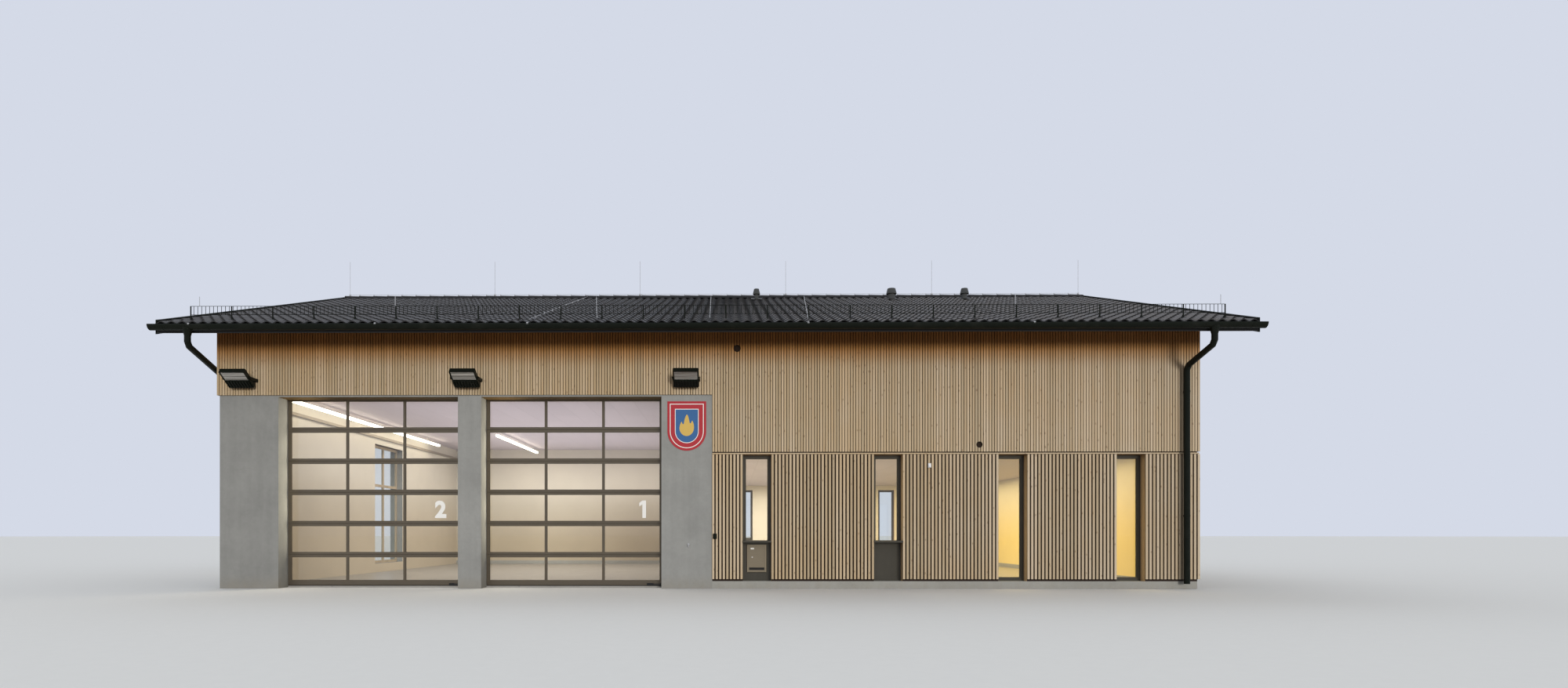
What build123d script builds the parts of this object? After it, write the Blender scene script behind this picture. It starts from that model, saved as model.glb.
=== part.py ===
from build123d import *
import math
import os

# Fire station building: a gabled hall with two glazed sectional doors between
# concrete piers, and a timber clad side part with narrow windows.
# Frame: +Z up, front face towards -Y, origin on the ground under the middle of the roof.
# Lengths are millimetres, angles are degrees.

# Driving dimensions along the front, from the left corner to the right one
pier_left_width = 1230
door_width = 3765
pier_middle_width = 485
pier_right_width = 1058
side_length = 10047

# Driving dimensions of the body
body_depth = 14800
wall_thickness = 400
plinth_height = 155
floor_thickness = 30
lintel_height = 300
seat_gap = 0.3

# Roof
roof_pitch = 18.2
eave_tile_height = 5332
tile_layer = 55
course_length = 340
course_step = 18
deck_layer = 190
eave_overhang = 1050
verge_overhang = 615
fascia_thickness = 25
tile_into_gutter = 50
verge_trim_thickness = 30
verge_trim_lip = 25
verge_trim_flange = 60
verge_trim_drop = 15
ridge_cap_radius = 100
ridge_cap_wall = 15

# Sectional doors
door_height = 4000
door_side_overlap = 40
door_top_overlap = 25
section_count = 6
pane_columns = 3
door_thickness = 45
end_stile = 72
mullion_width = 57
section_rail = 58
bottom_rail = 126
section_chamfer = 6
bead_width = 12
bead_depth = 6
door_pane_thickness = 20
seal_height = 12
hinge_width = 46
hinge_leaf_height = 45
hinge_leaf_thickness = 4
hinge_knuckle_radius = 8
round_sides = 6
wheel_sides = 8
roller_radius = 19
roller_width = 16
roller_shaft_radius = 5
roller_offset = 26
roller_bracket_width = 40
roller_bracket_depth = 36
roller_bracket_height = 56
roller_from_joint = 60
guide_wall = 3
guide_clearance = 3
guide_flange = 42
grip_width = 150
grip_height = 60
grip_depth = 22
grip_from_edge = 120

# Cladding
cladding_depth = 40
cladding_joint = 55
cladding_over_plinth = 45
cladding_over_door = 35

# Narrow windows, each by the distance of its middle from the right pier
window_width = 600
window_head = 2790
first_window = 932
second_window = 3657
third_window = 6232
fourth_window = 8670
low_window_count = 2
sill_height = 1005
sill_thickness = 45
sill_nose = 30
sill_fall = 12
window_setback = 200
window_frame_depth = 75
window_frame_face = 75
window_bead = 14
window_pane_thickness = 28
panel_recess = 10
panel_head = 35

# Tall window in the left wall
left_window_width = 2100
left_window_from_middle = 600
left_window_sill = 280
left_window_head = 3760
left_window_transom = 2580
left_window_setback = 150

# Inside
ceiling_thickness = 120
room_ceiling_height = 2950
partition_thickness = 200
first_strip_from_wall = 390
strip_spacing = 2780
strip_width = 70
strip_height = 60
first_strip_run = (600, 10300)
second_strip_run = (7900, 5500)
strip_drop = 120
strip_hanger_width = 12
strip_hanger_count = 5
wall_rail_height = 70
wall_rail_depth = 60

# Rain water goods
gutter_radius = 100
gutter_wall = 4
gutter_bead = 9
gutter_drop = 92
gutter_overrun = 45
outlet_height = 160
outlet_rise = 50
downpipe_radius = 60
downpipe_wall = 4
downpipe_foot = 110
front_outlet_from_corner = 294
front_pipe_from_corner = 336
gable_pipe_from_corner = 55
gable_pipe_from_front = 430
pipe_standoff = 62
pipe_sides = 12
pipe_elbow_cut = 70
pipe_neck = 180
pipe_fall = 270
gable_pipe_fall = 360
pipe_clip_heights = (1500, 4050)
pipe_clip_height = 30
pipe_clip_band = 5

# Snow guard, vents and rods on the roof
guard_end_gap = 410
guard_course = 1
guard_from_nose = 127
guard_height = 275
guard_bar = 8
guard_bracket_count = 26
guard_bracket_width = 24
guard_strap = 5
guard_foot_inset = 15
guard_foot_length = 230
guard_rail_rise = 95
guard_brace = 60
vent_from_ridge = 1000
vent_brim = 14
vent_height = 272
vent_neck_height = 135
vent_hat_lap = 45
vent_hat_taper = 30
vent_plate_width = 300
vent_plate_length = 380
vent_plate_thickness = 12
first_vent = (1124, 100)
second_vent = (4926, 143)
third_vent = (6978, 120)
rod_end_gap = 130
rod_count = 6
rod_radius = 6
rod_height = 1000
rod_foot_radius = 30
rod_foot_height = 40
rod_foot_lap = 12

# Fittings on the front
shield_width = 806
shield_height = 1026
shield_below_lintel = 101
shield_thickness = 14
shield_rim = 22
shield_rim_depth = 5
flood_width = 528
flood_length = 475
flood_thickness = 85
flood_corner = 24
flood_tilt = 32.6
flood_above_door = 300
flood_reach = 310
flood_glass_length = 225
flood_glass_recess = 10
flood_border = 26
flood_driver_length = 185
flood_driver_depth = 36
flood_fin_count = 8
flood_fin_gap = 24
flood_fin_depth = 22
flood_bracket_thickness = 6
flood_bracket_height = 60
flood_pivot_gap = 12
flood_pivot_radius = 12
left_flood_from_pier_middle = 65
letter_box_width = 405
letter_box_height = 579
letter_box_depth = 30
letter_box_foot = 333
letter_rim = 28
letter_field_depth = 5
letter_slot_width = 320
letter_slot_height = 50
letter_slot_depth = 18
letter_slot_from_foot = 48
letter_lock_radius = 11
letter_lock_from_middle = 94
letter_lock_from_foot = 316
letter_edge = 6
vent_hole_sides = 24
upper_vent_hole = (517, 4993, 75)
lower_vent_hole = (5537, 2991, 65)
vent_hole_lip = 6
tap_from_pier_middle = 36
tap_height = 923
tap_rosette_radius = 22
tap_rosette_depth = 12
tap_stem_radius = 11
tap_reach = 72
tap_spout_radius = 9
tap_spout_drop = 55
tap_lever_length = 60
detector_from_pier = 4500
detector_height = 2556
detector_width = 60
detector_body_height = 90
detector_depth = 45
detector_edge = 6
detector_eye_radius = 20
detector_eye_depth = 12
detector_eye_drop = 14
socket_from_pier = 58
socket_height = 1091
socket_width = 76
socket_body_height = 112
socket_depth = 55
socket_corner = 12

# Places worked out from the sizes above
body_length = pier_left_width + 2 * door_width + pier_middle_width + pier_right_width + side_length
half_length = body_length / 2
half_depth = body_depth / 2
slope = math.tan(math.radians(roof_pitch))
eave_y = half_depth + eave_overhang
tile_apex_height = eave_tile_height + eave_y * slope
roof_half_length = half_length + cladding_depth + verge_overhang
fascia_front_y = eave_y - tile_into_gutter
deck_end_y = fascia_front_y - fascia_thickness
inner_y = half_depth - wall_thickness
inner_x = half_length - wall_thickness
pier_left_right = -half_length + pier_left_width
pier_middle_left = pier_left_right + door_width
pier_middle_right = pier_middle_left + pier_middle_width
pier_right_left = pier_middle_right + door_width
side_left = pier_right_left + pier_right_width
clad_y = half_depth + cladding_depth
clad_x = half_length + cladding_depth
upper_cladding_bottom = window_head + cladding_joint
lower_cladding_bottom = plinth_height + cladding_over_plinth
over_door_cladding_bottom = door_height + cladding_over_door
ceiling_height = door_height + lintel_height
door_centres = (pier_middle_right + door_width / 2, pier_middle_left - door_width / 2)
window_offsets = (first_window, second_window, third_window, fourth_window)
window_centres = [side_left + offset for offset in window_offsets]
partition_left = side_left - partition_thickness
gutter_y = fascia_front_y + seat_gap + gutter_radius
gutter_rim_height = eave_tile_height - gutter_drop
gutter_half_length = roof_half_length + verge_trim_thickness + gutter_overrun
course_run = course_length * math.cos(math.radians(roof_pitch))
course_count = int(eave_y / course_run)
eave_sides = (("front", -1), ("back", 1))


def tile_plane(y):
    """Height of the plane that the tiles' lower edges touch, over a place y."""
    return tile_apex_height - abs(y) * slope


def course_surface(y):
    """Height of the stepped tile courses at a place y."""
    index = min(int((eave_y - abs(y)) / course_run), course_count - 1)
    nose = eave_y - course_run * index
    return tile_plane(y) - course_step * (nose - abs(y)) / course_run


def deck_top(y):
    """Height of the roof deck's upper face over a place y."""
    return tile_plane(y) - tile_layer


def roof_underside(y):
    """Height of the roof's soffit over a place y."""
    return deck_top(y) - deck_layer


def block(x_from, x_to, y_from, y_to, z_from, z_to):
    """Upright block between two corners."""
    with BuildPart() as made:
        with BuildSketch(Plane.XY.offset(z_from)):
            with Locations(((x_from + x_to) / 2, (y_from + y_to) / 2)):
                Rectangle(x_to - x_from, y_to - y_from)
        extrude(amount=z_to - z_from)
    return made.part


def prism_along_x(points, x_from, x_to):
    """Solid whose outline is given as (y, z) points, from one x to another."""
    with BuildPart() as made:
        with BuildSketch(Plane.YZ.offset(x_from)):
            with BuildLine():
                Polyline(*points, close=True)
            make_face()
        extrude(amount=x_to - x_from)
    return made.part


def eave_wall(side, x_from, x_to, z_from, y_outer, y_inner):
    """Wall under an eave, its top cut along the roof; side is -1 in front, 1 behind."""
    points = [
        (side * y_outer, z_from),
        (side * y_inner, z_from),
        (side * y_inner, roof_underside(y_inner)),
        (side * y_outer, roof_underside(y_outer)),
    ]
    return prism_along_x(points, x_from, x_to)


def gable_wall(x_from, x_to, z_from, y_end):
    """Wall under the verges, its top following both slopes."""
    points = [
        (-y_end, z_from),
        (y_end, z_from),
        (y_end, roof_underside(y_end)),
        (0, roof_underside(0)),
        (-y_end, roof_underside(y_end)),
    ]
    return prism_along_x(points, x_from, x_to)


def group(*pieces):
    """One node from pieces that keep apart."""
    return Compound(children=list(pieces))


def save(piece, name):
    """Label a finished piece and write it as its own file."""
    piece.label = name
    export_step(piece, f"parts/{name}.step")


os.makedirs("parts", exist_ok=True)

# Concrete piers beside and between the doors
pier_spans = {
    "pier_left": (-half_length, pier_left_right),
    "pier_middle": (pier_middle_left, pier_middle_right),
    "pier_right": (pier_right_left, side_left),
}
for pier_name, (pier_from, pier_to) in pier_spans.items():
    save(block(pier_from, pier_to, -half_depth, -inner_y, 0, door_height), pier_name)

# Concrete beam over both doors, and the timber wall that stands on it
door_lintel = block(-half_length, side_left, -half_depth, -inner_y, door_height, ceiling_height)
save(door_lintel, "door_lintel")
wall_over_doors = eave_wall(-1, -half_length, side_left, ceiling_height, half_depth, inner_y)
save(wall_over_doors, "front_wall_over_doors")


def window_cutter(side):
    """Blocks through an eave wall where its four windows stand."""
    with BuildPart() as made:
        with BuildSketch(Plane.XY.offset(plinth_height)):
            with Locations(*[(x, side * (half_depth - wall_thickness / 2)) for x in window_centres]):
                Rectangle(window_width, wall_thickness)
        extrude(amount=window_head - plinth_height)
    return made.part


# Front wall of the side part, with its four window openings
with BuildPart() as front_wall_side:
    add(eave_wall(-1, side_left, half_length, plinth_height, half_depth, inner_y))
    add(window_cutter(-1), mode=Mode.SUBTRACT)
save(front_wall_side.part, "front_wall_side")

# Back wall: the same four windows
with BuildPart() as back_wall:
    add(eave_wall(1, -half_length, half_length, plinth_height, half_depth, inner_y))
    add(window_cutter(1), mode=Mode.SUBTRACT)
save(back_wall.part, "back_wall")

# Left wall: concrete to the height of the piers, with a tall window
left_window_from = left_window_from_middle - left_window_width / 2
left_window_to = left_window_from_middle + left_window_width / 2
with BuildPart() as left_wall:
    add(block(-half_length, -inner_x, -inner_y, inner_y, 0, door_height))
    add(
        block(-half_length, -inner_x, left_window_from, left_window_to, left_window_sill, left_window_head),
        mode=Mode.SUBTRACT,
    )
save(left_wall.part, "left_wall")
save(gable_wall(-half_length, -inner_x, door_height, inner_y), "left_gable")
save(gable_wall(inner_x, half_length, plinth_height, inner_y), "right_wall")

# Concrete plinth under the timber walls
save(block(side_left, half_length, -half_depth, -inner_y, 0, plinth_height), "plinth_front")
save(block(inner_x, half_length, -inner_y, inner_y, 0, plinth_height), "plinth_right")
save(block(-half_length, half_length, inner_y, half_depth, 0, plinth_height), "plinth_back")

# Floor, partition between the hall and the side rooms, and the two ceilings
save(block(-inner_x, inner_x, -inner_y, inner_y, 0, floor_thickness), "floor_slab")
partition_wall = block(partition_left, side_left, -inner_y, inner_y, floor_thickness, ceiling_height)
save(partition_wall, "partition_wall")
hall_ceiling_top = ceiling_height + ceiling_thickness
hall_ceiling = block(-inner_x, side_left, -inner_y, inner_y, ceiling_height, hall_ceiling_top)
save(hall_ceiling, "hall_ceiling")
room_ceiling_top = room_ceiling_height + ceiling_thickness
room_ceiling = block(side_left, inner_x, -inner_y, inner_y, room_ceiling_height, room_ceiling_top)
save(room_ceiling, "room_ceiling")

# Timber cladding over the doors and on the upper part of the front
over_doors = eave_wall(-1, -clad_x, side_left, over_door_cladding_bottom, clad_y, half_depth)
save(over_doors, "cladding_over_doors")
vent_holes = [
    (side_left + offset, hole_z, hole_radius)
    for offset, hole_z, hole_radius in (upper_vent_hole, lower_vent_hole)
]
with BuildPart() as cladding_front_upper:
    add(eave_wall(-1, side_left, clad_x, upper_cladding_bottom, clad_y, half_depth))
    for hole_x, hole_z, hole_radius in vent_holes:
        with BuildSketch(Plane.XZ.offset(half_depth)):
            with Locations((hole_x, hole_z)):
                RegularPolygon(hole_radius, vent_hole_sides)
        extrude(amount=cladding_depth, mode=Mode.SUBTRACT)
save(cladding_front_upper.part, "cladding_front_upper")


def lower_cladding(side, x_from, x_to):
    """Lower band of boards, open in front of the windows."""
    y_near, y_far = sorted((side * half_depth, side * clad_y))
    with BuildPart() as made:
        add(block(x_from, x_to, y_near, y_far, lower_cladding_bottom, window_head))
        with BuildSketch(Plane.XY.offset(lower_cladding_bottom)):
            with Locations(*[(x, (y_near + y_far) / 2) for x in window_centres]):
                Rectangle(window_width, cladding_depth)
        extrude(amount=window_head - lower_cladding_bottom, mode=Mode.SUBTRACT)
    return made.part


save(lower_cladding(-1, side_left, clad_x), "cladding_front_lower")
save(gable_wall(-clad_x, -half_length, over_door_cladding_bottom, half_depth), "cladding_left")
right_upper = gable_wall(half_length, clad_x, upper_cladding_bottom, half_depth)
right_lower = block(half_length, clad_x, -half_depth, half_depth, lower_cladding_bottom, window_head)
save(group(right_upper, right_lower), "cladding_right")
back_upper = eave_wall(1, -clad_x, clad_x, upper_cladding_bottom, clad_y, half_depth)
save(group(back_upper, lower_cladding(1, -clad_x, clad_x)), "cladding_back")


def roof_deck(side):
    """Sloping deck of one side, and the fascia board on its end."""
    deck_outline = [
        (0, deck_top(0)),
        (0, roof_underside(0)),
        (side * deck_end_y, roof_underside(deck_end_y)),
        (side * deck_end_y, deck_top(deck_end_y)),
    ]
    fascia_outline = [
        (side * deck_end_y, roof_underside(deck_end_y)),
        (side * fascia_front_y, roof_underside(deck_end_y)),
        (side * fascia_front_y, deck_top(fascia_front_y)),
        (side * deck_end_y, deck_top(deck_end_y)),
    ]
    return group(
        prism_along_x(deck_outline, -roof_half_length, roof_half_length),
        prism_along_x(fascia_outline, -roof_half_length, roof_half_length),
    )


def tile_courses(side):
    """Tile layer of one side, stepped at each course."""
    points = [(0, deck_top(0)), (side * eave_y, deck_top(eave_y))]
    for index in range(course_count):
        nose = eave_y - course_run * index
        if index:
            points.append((side * nose, tile_plane(nose) - course_step))
        points.append((side * nose, tile_plane(nose)))
    points.append((0, course_surface(0)))
    return prism_along_x(points, -roof_half_length, roof_half_length)


for side_name, side in eave_sides:
    save(roof_deck(side), f"roof_deck_{side_name}")
    save(tile_courses(side), f"roof_tiles_{side_name}")

# Ridge cap: half round tiles over the meeting of both slopes
ridge_foot = course_surface(ridge_cap_radius - ridge_cap_wall) + seat_gap
with BuildPart() as ridge_cap:
    with BuildSketch(Plane.YZ.offset(-roof_half_length)):
        with Locations((0, ridge_foot)):
            Circle(ridge_cap_radius)
            Circle(ridge_cap_radius - ridge_cap_wall, mode=Mode.SUBTRACT)
        with Locations((0, ridge_foot - ridge_cap_radius)):
            Rectangle(ridge_cap_radius * 2, ridge_cap_radius * 2, mode=Mode.SUBTRACT)
    extrude(amount=2 * roof_half_length)
save(ridge_cap.part, "ridge_cap")


def verge_band(side, rise_from, rise_to, start_y):
    """Outline along one slope between two rises over the tile plane."""
    return [
        (side * start_y, tile_plane(start_y) + rise_to),
        (side * start_y, tile_plane(start_y) + rise_from),
        (side * fascia_front_y, tile_plane(fascia_front_y) + rise_from),
        (side * fascia_front_y, tile_plane(fascia_front_y) + rise_to),
    ]


def verge_trim(end, side):
    """Metal trim over the end of one slope, with a flange that laps the tiles."""
    drop = tile_layer + deck_layer + verge_trim_drop
    outer = end * (roof_half_length + verge_trim_thickness)
    edge = end * roof_half_length
    inner = end * (roof_half_length - verge_trim_flange)
    with BuildPart() as made:
        add(prism_along_x(verge_band(side, -drop, verge_trim_lip, 0), *sorted((edge, outer))))
        lap_start = ridge_cap_radius + seat_gap
        add(prism_along_x(verge_band(side, seat_gap, verge_trim_lip, lap_start), *sorted((inner, edge))))
    return made.part


save(group(*[verge_trim(end, side) for end in (-1, 1) for side in (-1, 1)]), "verge_trims")


def gutter(side):
    """Half round gutter with a bead on its outer rim and closed ends."""
    with BuildPart() as made:
        with BuildSketch(Plane.YZ.offset(-gutter_half_length)):
            with Locations((side * gutter_y, gutter_rim_height)):
                Circle(gutter_radius)
                Circle(gutter_radius - gutter_wall, mode=Mode.SUBTRACT)
            with Locations((side * gutter_y, gutter_rim_height + gutter_radius)):
                Rectangle(gutter_radius * 2, gutter_radius * 2, mode=Mode.SUBTRACT)
            with Locations((side * (gutter_y + gutter_radius - gutter_bead), gutter_rim_height)):
                Circle(gutter_bead)
        extrude(amount=2 * gutter_half_length)
        for end in (-gutter_half_length, gutter_half_length - gutter_wall):
            with BuildSketch(Plane.YZ.offset(end)):
                with Locations((side * gutter_y, gutter_rim_height)):
                    Circle(gutter_radius)
                with Locations((side * gutter_y, gutter_rim_height + gutter_radius)):
                    Rectangle(gutter_radius * 2, gutter_radius * 2, mode=Mode.SUBTRACT)
            extrude(amount=gutter_wall)
    return made.part


def elbow(before, corner, after):
    """The two mitred joints of an elbow, in place of one sharp corner."""
    middle = Vector(*corner)
    return [
        middle + (Vector(*before) - middle).normalized() * pipe_elbow_cut,
        middle + (Vector(*after) - middle).normalized() * pipe_elbow_cut,
    ]


def clip_reach(height, on_gable):
    """Distance from a downpipe's middle to the face behind it at one height."""
    on_bare_wall = on_gable and height + pipe_clip_height < over_door_cladding_bottom
    return downpipe_radius + pipe_standoff - seat_gap + (cladding_depth if on_bare_wall else 0)


def downpipe(side, outlet_x, wall_x, wall_y, fall, on_gable):
    """Swan necked pipe from the gutter to the wall, with its outlet and wall clips."""
    outlet_top_radius = gutter_radius
    outlet_top = gutter_rim_height - gutter_radius + outlet_rise
    neck_top = outlet_top - outlet_height
    neck_bottom = neck_top - pipe_neck
    start = (outlet_x, side * gutter_y, neck_top)
    upper = (outlet_x, side * gutter_y, neck_bottom)
    lower = (wall_x, wall_y, neck_bottom - fall)
    foot = (wall_x, wall_y, downpipe_foot)
    with BuildPart() as made:
        with BuildLine():
            Polyline(start, *elbow(start, upper, lower), *elbow(upper, lower, foot), foot)
        with BuildSketch(Plane(origin=start, x_dir=(1, 0, 0), z_dir=(0, 0, -1))):
            RegularPolygon(downpipe_radius, pipe_sides)
            RegularPolygon(downpipe_radius - downpipe_wall, pipe_sides, mode=Mode.SUBTRACT)
        sweep(transition=Transition.RIGHT)
        for height, radius in ((neck_top, downpipe_radius), (outlet_top, outlet_top_radius)):
            with BuildSketch(Plane.XY.offset(height)):
                with Locations((outlet_x, side * gutter_y)):
                    RegularPolygon(radius, pipe_sides)
        loft()
        with BuildSketch(Plane.YZ.offset(outlet_x - outlet_top_radius)):
            with Locations((side * gutter_y, gutter_rim_height)):
                Circle(gutter_radius + seat_gap)
        extrude(amount=2 * outlet_top_radius, mode=Mode.SUBTRACT)
        with BuildSketch(Plane.XY.offset(neck_top)):
            with Locations((outlet_x, side * gutter_y)):
                RegularPolygon(downpipe_radius - downpipe_wall, pipe_sides)
        extrude(amount=outlet_height, mode=Mode.SUBTRACT)
        for clip_height in pipe_clip_heights:
            reach = clip_reach(clip_height, on_gable)
            with BuildSketch(Plane.XY.offset(clip_height)):
                with Locations((wall_x, wall_y)):
                    RegularPolygon(downpipe_radius + pipe_clip_band, pipe_sides)
                if on_gable:
                    with Locations((wall_x + reach / 2, wall_y)):
                        Rectangle(reach, pipe_clip_height)
                else:
                    with Locations((wall_x, wall_y - side * reach / 2)):
                        Rectangle(pipe_clip_height, reach)
                with Locations((wall_x, wall_y)):
                    RegularPolygon(downpipe_radius - downpipe_wall, pipe_sides, mode=Mode.SUBTRACT)
            extrude(amount=pipe_clip_height)
    return made.part


wall_reach = downpipe_radius + pipe_standoff
front_outlet_x = clad_x - front_outlet_from_corner
front_pipe_x = clad_x - front_pipe_from_corner
gable_outlet_x = gable_pipe_from_corner - clad_x
gable_pipe_x = -(clad_x + wall_reach)
for side_name, side in eave_sides:
    save(gutter(side), f"gutter_{side_name}")
    front_pipe_y = side * (clad_y + wall_reach)
    right_pipe = downpipe(side, front_outlet_x, front_pipe_x, front_pipe_y, pipe_fall, False)
    gable_pipe_y = side * (half_depth - gable_pipe_from_front)
    left_pipe = downpipe(side, gable_outlet_x, gable_pipe_x, gable_pipe_y, gable_pipe_fall, True)
    save(group(right_pipe, left_pipe), f"downpipes_{side_name}")

# Snow guards: rails on bracketed feet that lie on the second course of tiles
guard_nose = eave_y - course_run * guard_course
guard_y = guard_nose - guard_from_nose
guard_half_length = roof_half_length - guard_end_gap
foot_low = guard_nose - guard_foot_inset
foot_high = foot_low - guard_foot_length
guard_top = course_surface(guard_y) + guard_height


def guard_bracket(side):
    """Foot strap and upright of one bracket, bent from one bar and standing at x = 0."""
    strap_rise = seat_gap + guard_strap
    front = guard_y + guard_bar / 2
    behind = guard_y - guard_bar / 2
    outline = [
        (side * foot_low, course_surface(foot_low) + seat_gap),
        (side * foot_high, course_surface(foot_high) + seat_gap),
        (side * foot_high, course_surface(foot_high) + strap_rise),
        (side * (behind - guard_brace), course_surface(behind - guard_brace) + strap_rise),
        (side * behind, course_surface(behind) + strap_rise + guard_brace),
        (side * behind, guard_top),
        (side * front, guard_top),
        (side * front, course_surface(front) + strap_rise),
        (side * foot_low, course_surface(foot_low) + strap_rise),
    ]
    return prism_along_x(outline, -guard_bracket_width / 2, guard_bracket_width / 2)


def snow_guard(side):
    """Two rails along the eave on their brackets."""
    bracket_pitch = (2 * guard_half_length - guard_bracket_width) / (guard_bracket_count - 1)
    rail_low = course_surface(guard_y) + guard_rail_rise
    with BuildPart() as made:
        with GridLocations(bracket_pitch, 0, guard_bracket_count, 1):
            add(guard_bracket(side))
        for rail_foot in (rail_low, guard_top - guard_bar):
            with BuildSketch(Plane.XY.offset(rail_foot)):
                with Locations((0, side * guard_y)):
                    Rectangle(2 * guard_half_length, guard_bar)
            extrude(amount=guard_bar)
    return made.part


for side_name, side in eave_sides:
    save(snow_guard(side), f"snow_guard_{side_name}")

# Roof vents with round hats, standing on plates that follow the slope
vent_foot = tile_plane(vent_from_ridge) + seat_gap
vent_slope = Plane(
    origin=(0, -vent_from_ridge, vent_foot),
    x_dir=(1, 0, 0),
    z_dir=(0, -math.sin(math.radians(roof_pitch)), math.cos(math.radians(roof_pitch))),
)


def roof_vent(vent_x, hat_radius):
    """Neck and turned hat on a sloping plate."""
    neck_radius = hat_radius - vent_hat_lap
    brim_low = vent_foot + vent_neck_height
    brim_high = brim_low + vent_brim
    hat_top = vent_foot + vent_height
    profile = [
        (vent_x, vent_foot - neck_radius),
        (vent_x + neck_radius, vent_foot - neck_radius),
        (vent_x + neck_radius, brim_low),
        (vent_x + hat_radius, brim_low - vent_brim),
        (vent_x + hat_radius, brim_high),
        (vent_x + hat_radius - vent_hat_taper, hat_top),
        (vent_x, hat_top),
    ]
    with BuildPart() as made:
        with BuildSketch(Plane.XZ.offset(vent_from_ridge)):
            with BuildLine():
                Polyline(*profile, close=True)
            make_face()
        revolve(axis=Axis((vent_x, -vent_from_ridge, 0), (0, 0, 1)))
        with BuildSketch(vent_slope):
            with Locations((vent_x, 0)):
                Rectangle(vent_plate_width, vent_plate_length)
        extrude(amount=vent_plate_thickness)
        split(bisect_by=vent_slope, keep=Keep.TOP)
    return made.part


save(group(*[roof_vent(side_left + x, r) for x, r in (first_vent, second_vent, third_vent)]), "roof_vents")

# Lightning rods, each in a saddle on the ridge cap
ridge_crest = ridge_foot + ridge_cap_radius
rod_pitch = 2 * (roof_half_length - rod_end_gap) / (rod_count - 1)
with BuildPart() as lightning_rods:
    with BuildSketch(Plane.XY.offset(ridge_crest - rod_foot_lap)):
        with GridLocations(rod_pitch, 0, rod_count, 1):
            RegularPolygon(rod_foot_radius, wheel_sides)
    extrude(amount=rod_foot_lap + rod_foot_height)
    with BuildSketch(Plane.YZ.offset(-roof_half_length)):
        with Locations((0, ridge_foot)):
            Circle(ridge_cap_radius + seat_gap)
    extrude(amount=2 * roof_half_length, mode=Mode.SUBTRACT)
    with BuildSketch(Plane.XY.offset(ridge_crest + rod_foot_height)):
        with GridLocations(rod_pitch, 0, rod_count, 1):
            RegularPolygon(rod_radius, round_sides)
    extrude(amount=rod_height - rod_foot_height)
save(lightning_rods.part, "lightning_rods")

# Sectional doors: glazed sections behind the piers, hinged to each other, on rollers in guides
section_pitch = (door_height + door_top_overlap - floor_thickness) / section_count
pane_width = (door_width - 2 * end_stile - (pane_columns - 1) * mullion_width) / pane_columns
pane_pitch = pane_width + mullion_width
door_front_y = -inner_y + seat_gap
door_back_y = door_front_y + door_thickness
door_full_width = door_width + 2 * door_side_overlap
glass_depth = (door_thickness - door_pane_thickness) / 2
roller_y = door_back_y + roller_offset
wheel_near = 2 * guide_clearance
wheel_far = wheel_near + roller_width
mullion_offsets = [(index - (pane_columns - 2) / 2) * pane_pitch for index in range(pane_columns - 1)]


def pane_span(index):
    """Lower and upper edge of the sight opening in one section."""
    joint_below = floor_thickness + section_pitch * index
    rail_below = section_rail if index else bottom_rail
    return joint_below + rail_below, joint_below + section_pitch - section_rail


def pane_blocks(centre_x, index, spread, depth_from, depth_to):
    """Blocks at the panes of one section, wider than the sight opening by a spread."""
    pane_low, pane_high = pane_span(index)
    with BuildPart() as made:
        with BuildSketch(Plane.XZ.offset(-(door_front_y + depth_from))):
            with Locations((centre_x, (pane_low + pane_high) / 2)):
                with GridLocations(pane_pitch, 0, pane_columns, 1):
                    Rectangle(pane_width + 2 * spread, pane_high - pane_low + 2 * spread)
        extrude(amount=-(depth_to - depth_from))
    return made.part


def hinge_leaves(centre_x, leaf_low, leaf_high):
    """Hinge leaves on the inner face of a section, one at each mullion."""
    with BuildPart() as made:
        with BuildSketch(Plane.XZ.offset(-door_back_y)):
            with Locations(*[(centre_x + offset, (leaf_low + leaf_high) / 2) for offset in mullion_offsets]):
                Rectangle(hinge_width, leaf_high - leaf_low)
        extrude(amount=-hinge_leaf_thickness)
    return made.part


def hinge_knuckles(centre_x, joint):
    """Hinge knuckles along one joint, one at each mullion."""
    with BuildPart() as made:
        for offset in mullion_offsets:
            with BuildSketch(Plane.YZ.offset(centre_x + offset - hinge_width / 2)):
                with Locations((door_back_y + hinge_knuckle_radius + seat_gap, joint)):
                    RegularPolygon(hinge_knuckle_radius, round_sides)
            extrude(amount=hinge_width)
    return made.part


def roller(end_x, way, roller_z):
    """Bracket, shaft and wheel at one end of a section; way points out of the door."""
    with BuildPart() as made:
        with BuildSketch(Plane.XZ.offset(-door_back_y)):
            with Locations((end_x - way * roller_bracket_width / 2, roller_z)):
                Rectangle(roller_bracket_width, roller_bracket_height)
        extrude(amount=-roller_bracket_depth)
        with BuildSketch(Plane.YZ.offset(end_x)):
            with Locations((roller_y, roller_z)):
                RegularPolygon(roller_shaft_radius, round_sides)
        extrude(amount=way * wheel_far)
        with BuildSketch(Plane.YZ.offset(end_x + way * wheel_near)):
            with Locations((roller_y, roller_z)):
                RegularPolygon(roller_radius, wheel_sides)
        extrude(amount=way * roller_width)
    return made.part


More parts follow.
